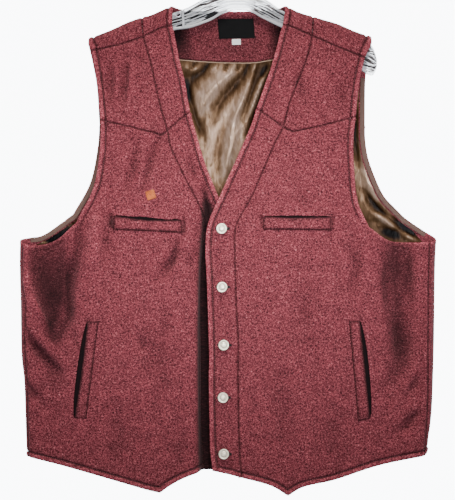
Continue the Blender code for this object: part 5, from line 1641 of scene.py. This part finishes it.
# Below this height the section's lips and ribs shrink with it
BAR_SLIM = 0.022
NECK_OPENING = (-0.0880, 0.0690)
BAR_STATIONS = 150
BAR_TOP = (
    (-0.2085, 0.1780), (-0.2065, 0.1640), (-0.1980, 0.1500), (-0.1600, 0.1240),
    (-0.1250, 0.1150), (-0.0950, 0.1080), (-0.0700, 0.0985), (-0.0450, 0.0850),
    (-0.0200, 0.0780), (0.0000, 0.0765), (0.0200, 0.0785), (0.0450, 0.0880),
    (0.0700, 0.1045), (0.0950, 0.1130), (0.1250, 0.1210), (0.1600, 0.1290),
    (0.2000, 0.1530), (0.2100, 0.1690), (0.2125, 0.1800))
BAR_FOOT = (
    (-0.2085, 0.1850), (-0.2065, 0.1960), (-0.1980, 0.2020), (-0.1600, 0.1760),
    (-0.1250, 0.1500), (-0.0960, 0.1350), (-0.0690, 0.1305), (-0.0390, 0.1200),
    (-0.0210, 0.1095), (-0.0090, 0.1050), (0.0015, 0.1035), (0.0210, 0.1055),
    (0.0360, 0.1140), (0.0510, 0.1215), (0.0705, 0.1305), (0.1200, 0.1490),
    (0.1600, 0.1750), (0.2000, 0.2010), (0.2100, 0.1960), (0.2125, 0.1870))
# The bow's section, up its front: share of the height, distance beyond, half depth
BAR_SECTION = (
    (0.00, 0.0000, BAR_ROUND), (0.00, 0.0008, BAR_HALF), (0.00, 0.0036, BAR_HALF),
    (0.00, 0.0044, BAR_RIB), (0.00, 0.0048, BAR_WEB),
    *((share, beyond, half) for share in (0.36, 0.52, 0.68) for beyond, half in (
        (-0.0012, BAR_WEB), (-0.0006, BAR_RIB), (0.0006, BAR_RIB), (0.0012, BAR_WEB))),
    (1.00, -0.0048, BAR_WEB), (1.00, -0.0044, BAR_RIB), (1.00, -0.0036, BAR_HALF),
    (1.00, -0.0008, BAR_HALF), (1.00, 0.0000, BAR_ROUND))
# The notch beside the neck: its eye's middle, half width and half height, and the rib
# that runs down from it
NOTCH_EYE = (-0.0870, -0.0046, -0.1105)
NOTCH_WIDTH = 0.0042
NOTCH_HEIGHT = 0.0036
NOTCH_RADIUS = 0.0009
NOTCH_RIB = ((-0.0800, -0.0048, -0.1065), (-0.0794, -0.0048, -0.1180), (-0.0790, -0.0048, -0.1300))
NOTCH_RIB_RADIUS = 0.0018


def clear_polystyrene():
    """Clear moulded polystyrene, glossy, a little hazy with fine scuffs."""
    material, tree, surface = new_material("clear_polystyrene")
    place = add_node(tree, "ShaderNodeTexCoord")
    scuffs = add_node(tree, "ShaderNodeTexNoise", {
        "Vector": place.outputs["Object"], "Scale": 1 / 0.0060, "Detail": 4.0})
    haze = add_node(tree, "ShaderNodeMapRange", {
        "Value": scuffs.outputs[0], "From Min": 0.3, "From Max": 0.7, "To Min": 0.03,
        "To Max": 0.14})
    tree.links.new(haze.outputs[0], surface.inputs["Roughness"])
    # Painted shade: the thin web between the ribs is darkened in streaks along the bow, for the shade seen through the
    # web and the dark lines its ribs refract
    axes = add_node(tree, "ShaderNodeSeparateXYZ", {0: place.outputs["Object"]})
    depth = add_node(tree, "ShaderNodeMath", {0: axes.outputs["Y"]}, operation="ABSOLUTE")
    aside = add_node(tree, "ShaderNodeMath", {0: axes.outputs["X"]}, operation="ABSOLUTE")
    web = add_node(tree, "ShaderNodeMapRange", {
        "Value": depth.outputs[0], "From Min": BAR_WEB, "From Max": BAR_ROUND, "To Min": 1.0,
        "To Max": 0.0})
    level = add_node(tree, "ShaderNodeMath", {
        0: aside.outputs[0], 1: 0.34, 2: axes.outputs["Z"]}, operation="MULTIPLY_ADD")
    along = add_node(tree, "ShaderNodeMath", {0: axes.outputs["X"], 1: 0.12}, operation="MULTIPLY")
    flow = add_node(tree, "ShaderNodeCombineXYZ", {
        "X": along.outputs[0], "Y": axes.outputs["Y"], "Z": level.outputs[0]})
    painted_shade_streak = add_node(tree, "ShaderNodeTexNoise", {
        "Vector": flow.outputs[0], "Scale": 1 / 0.0024, "Detail": 1.0})
    painted_shade_streak = add_node(tree, "ShaderNodeMapRange", {
        "Value": painted_shade_streak.outputs[0], "From Min": 0.44, "From Max": 0.50})
    ends = add_node(tree, "ShaderNodeMapRange", {
        "Value": aside.outputs[0], "From Min": 0.012, "From Max": 0.028})
    dark = add_node(tree, "ShaderNodeMath", {0: web.outputs[0], 1: painted_shade_streak.outputs[0]},
                    operation="MULTIPLY")
    dark = add_node(tree, "ShaderNodeMath", {0: dark.outputs[0], 1: ends.outputs[0]},
                    operation="MULTIPLY")
    tint = add_node(tree, "ShaderNodeMix", {
        0: dark.outputs[0], 6: linear("#fbfdff"), 7: linear("#0a0605")}, data_type="RGBA")
    tree.links.new(tint.outputs[2], surface.inputs["Base Color"])
    surface.inputs["IOR"].default_value = 1.59
    surface.inputs["Transmission Weight"].default_value = 0.60
    return material


def spring_steel():
    """Bright bent wire, drawn and plated."""
    material, tree, surface = new_material("hook_wire_steel")
    place = add_node(tree, "ShaderNodeTexCoord")
    drawn = add_node(tree, "ShaderNodeTexNoise", {
        "Vector": place.outputs["Object"], "Scale": 1 / 0.0015, "Detail": 2.0})
    tone = add_node(tree, "ShaderNodeMix", {
        0: drawn.outputs[0], 6: linear("#9a9a98"), 7: linear("#d2d2ce")}, data_type="RGBA")
    tree.links.new(tone.outputs[2], surface.inputs["Base Color"])
    surface.inputs["Metallic"].default_value = 1.0
    surface.inputs["Roughness"].default_value = 0.28
    return material


def make_bow():
    """The bow's skin, from section to section along its two edges."""
    top, foot = reading(BAR_TOP), reading(BAR_FOOT)
    front = np.array(BAR_SECTION)
    back = front[::-1] * (1, 1, -1)
    section = np.vstack((front, back, front[:1]))
    even = 0.5 - 0.5 * np.cos(np.linspace(0, math.pi, BAR_STATIONS))
    across = BAR_TOP[0][0] + (BAR_TOP[-1][0] - BAR_TOP[0][0]) * (
        0.5 * even + 0.5 * np.linspace(0, 1, BAR_STATIONS))
    rings = []
    for place in across:
        high, low = float(top(place)), float(foot(place))
        if not NECK_OPENING[0] < place < NECK_OPENING[1]:
            high = max(high, float(shoulder_drop(place)) + WOOL + BAR_CLEARANCE)
        height = low - high
        level = section[:, 0] * height + section[:, 1] * min(1.0, height / BAR_SLIM)
        rings.append(np.column_stack((
            np.full(len(section), place), -section[:, 2], level - low)))
    return make_skin("hanger_bow", np.array(rings), clear_plastic)


clear_plastic = clear_polystyrene()
dress(make_bow(), "clear", "hanger_bar")
notch_turn = np.linspace(0, 2 * math.pi, 25)
notch_ring = np.column_stack((
    NOTCH_EYE[0] + NOTCH_WIDTH * np.cos(notch_turn), np.full(len(notch_turn), NOTCH_EYE[1]),
    NOTCH_EYE[2] + NOTCH_HEIGHT * np.sin(notch_turn)))
dress(make_tube("hanger_notch_ring", notch_ring, NOTCH_RADIUS, clear_plastic), "clear")
dress(make_tube("hanger_notch_rib", NOTCH_RIB, NOTCH_RIB_RADIUS, clear_plastic), "clear")
hook = frame["nodes"]["hanger_hook"]
hook.data.materials.clear()
hook.data.materials.append(spring_steel())
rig.slot(hook, "nickel")

# The room: a pale round studio, floor and wall in one sweep, which glows softly as if
# lit from all sides, a window above in front, and the camera square to the vest.

# One pixel of the photograph at the cloth, and its frame's height
PIXEL = 0.0015
FRAME_HEIGHT = 500 * PIXEL
FRAME_CENTRE = (-0.01275, -0.018, -0.465)
CAMERA_DISTANCE = 3.6
SENSOR = 36.0
# How strongly the studio glows behind the vest and elsewhere, how far back the one
# passes into the other, and how strongly the air around lights the vest
WALL_GLOW = 10.0
ROOM_GLOW = 0.10
GLOW_CHANGE = (1.5, 4.5)
ROOM_LIGHT = 0.1
# The studio's section, radius and height
STUDIO = ((0.0, -2.00), (4.4, -2.00), (5.5, -1.72), (5.95, -1.10), (6.0, 0.0), (6.0, 3.2))


def make_studio():
    """A round floor that sweeps up into a wall."""
    material, tree, surface = new_material("white_plaster")
    surface.inputs["Base Color"].default_value = linear("#808084")
    surface.inputs["Roughness"].default_value = 0.9
    surface.inputs["Emission Color"].default_value = linear("#f8fbff")
    place = add_node(tree, "ShaderNodeTexCoord")
    split = add_node(tree, "ShaderNodeSeparateXYZ", {0: place.outputs["Object"]})
    glow = add_node(tree, "ShaderNodeMapRange", {
        "Value": split.outputs["Y"], "From Min": GLOW_CHANGE[0], "From Max": GLOW_CHANGE[1],
        "To Min": ROOM_GLOW, "To Max": WALL_GLOW})
    tree.links.new(glow.outputs[0], surface.inputs["Emission Strength"])
    outline = turned_profile(run(STUDIO, 2)[::2], 64)
    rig.stage(new_piece("studio", outline, material, sharp=False))


def make_light(name, place, towards, size, power, colour, spread):
    """A soft light with a grid, which narrows its beam to the spread."""
    light = bpy.data.lights.new(name, "AREA")
    light.shape = "RECTANGLE"
    light.size, light.size_y = size
    light.energy = power
    light.spread = math.radians(spread)
    light.color = linear(colour)[:3]
    lamp = bpy.data.objects.new(name, light)
    lamp.location = place
    aim = np.array(towards, float) - place
    lamp.rotation_euler = (
        math.atan2(math.hypot(aim[0], aim[1]), -aim[2]), 0, math.atan2(-aim[0], aim[1]))
    bpy.context.scene.collection.objects.link(lamp)


def make_camera():
    """The camera, straight in front, whose frame is the photograph's."""
    camera = bpy.data.cameras.new("camera")
    camera.sensor_width = SENSOR
    camera.lens = SENSOR * CAMERA_DISTANCE / FRAME_HEIGHT
    stand = bpy.data.objects.new("camera", camera)
    stand.location = (FRAME_CENTRE[0], FRAME_CENTRE[1] - CAMERA_DISTANCE, FRAME_CENTRE[2])
    stand.rotation_euler = (math.radians(90), 0, 0)
    bpy.context.scene.collection.objects.link(stand)
    bpy.context.scene.camera = stand


make_studio()
make_light("window_above", (-0.02, -0.66, 0.70), (0.0, 0.0, -0.88), (0.6, 0.24), 3.3, "#fff8f2",
           56)
make_light("window_front", (0.20, -1.60, -0.38), (-0.01, 0.0, -0.43), (0.8, 0.4), 2.2, "#f4f8ff",
           34)
make_camera()

room = bpy.data.worlds.new("room")
bpy.context.scene.world = room
room.use_nodes = True
room.node_tree.nodes["Background"].inputs["Color"].default_value = linear("#f4f8ff")
room.node_tree.nodes["Background"].inputs["Strength"].default_value = ROOM_LIGHT

sizes = {"cad": [list(corner) for corner in cad_box],
         "visual": [list(corner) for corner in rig.bounds()]}
with open("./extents.json", "w") as file:
    json.dump(sizes, file)
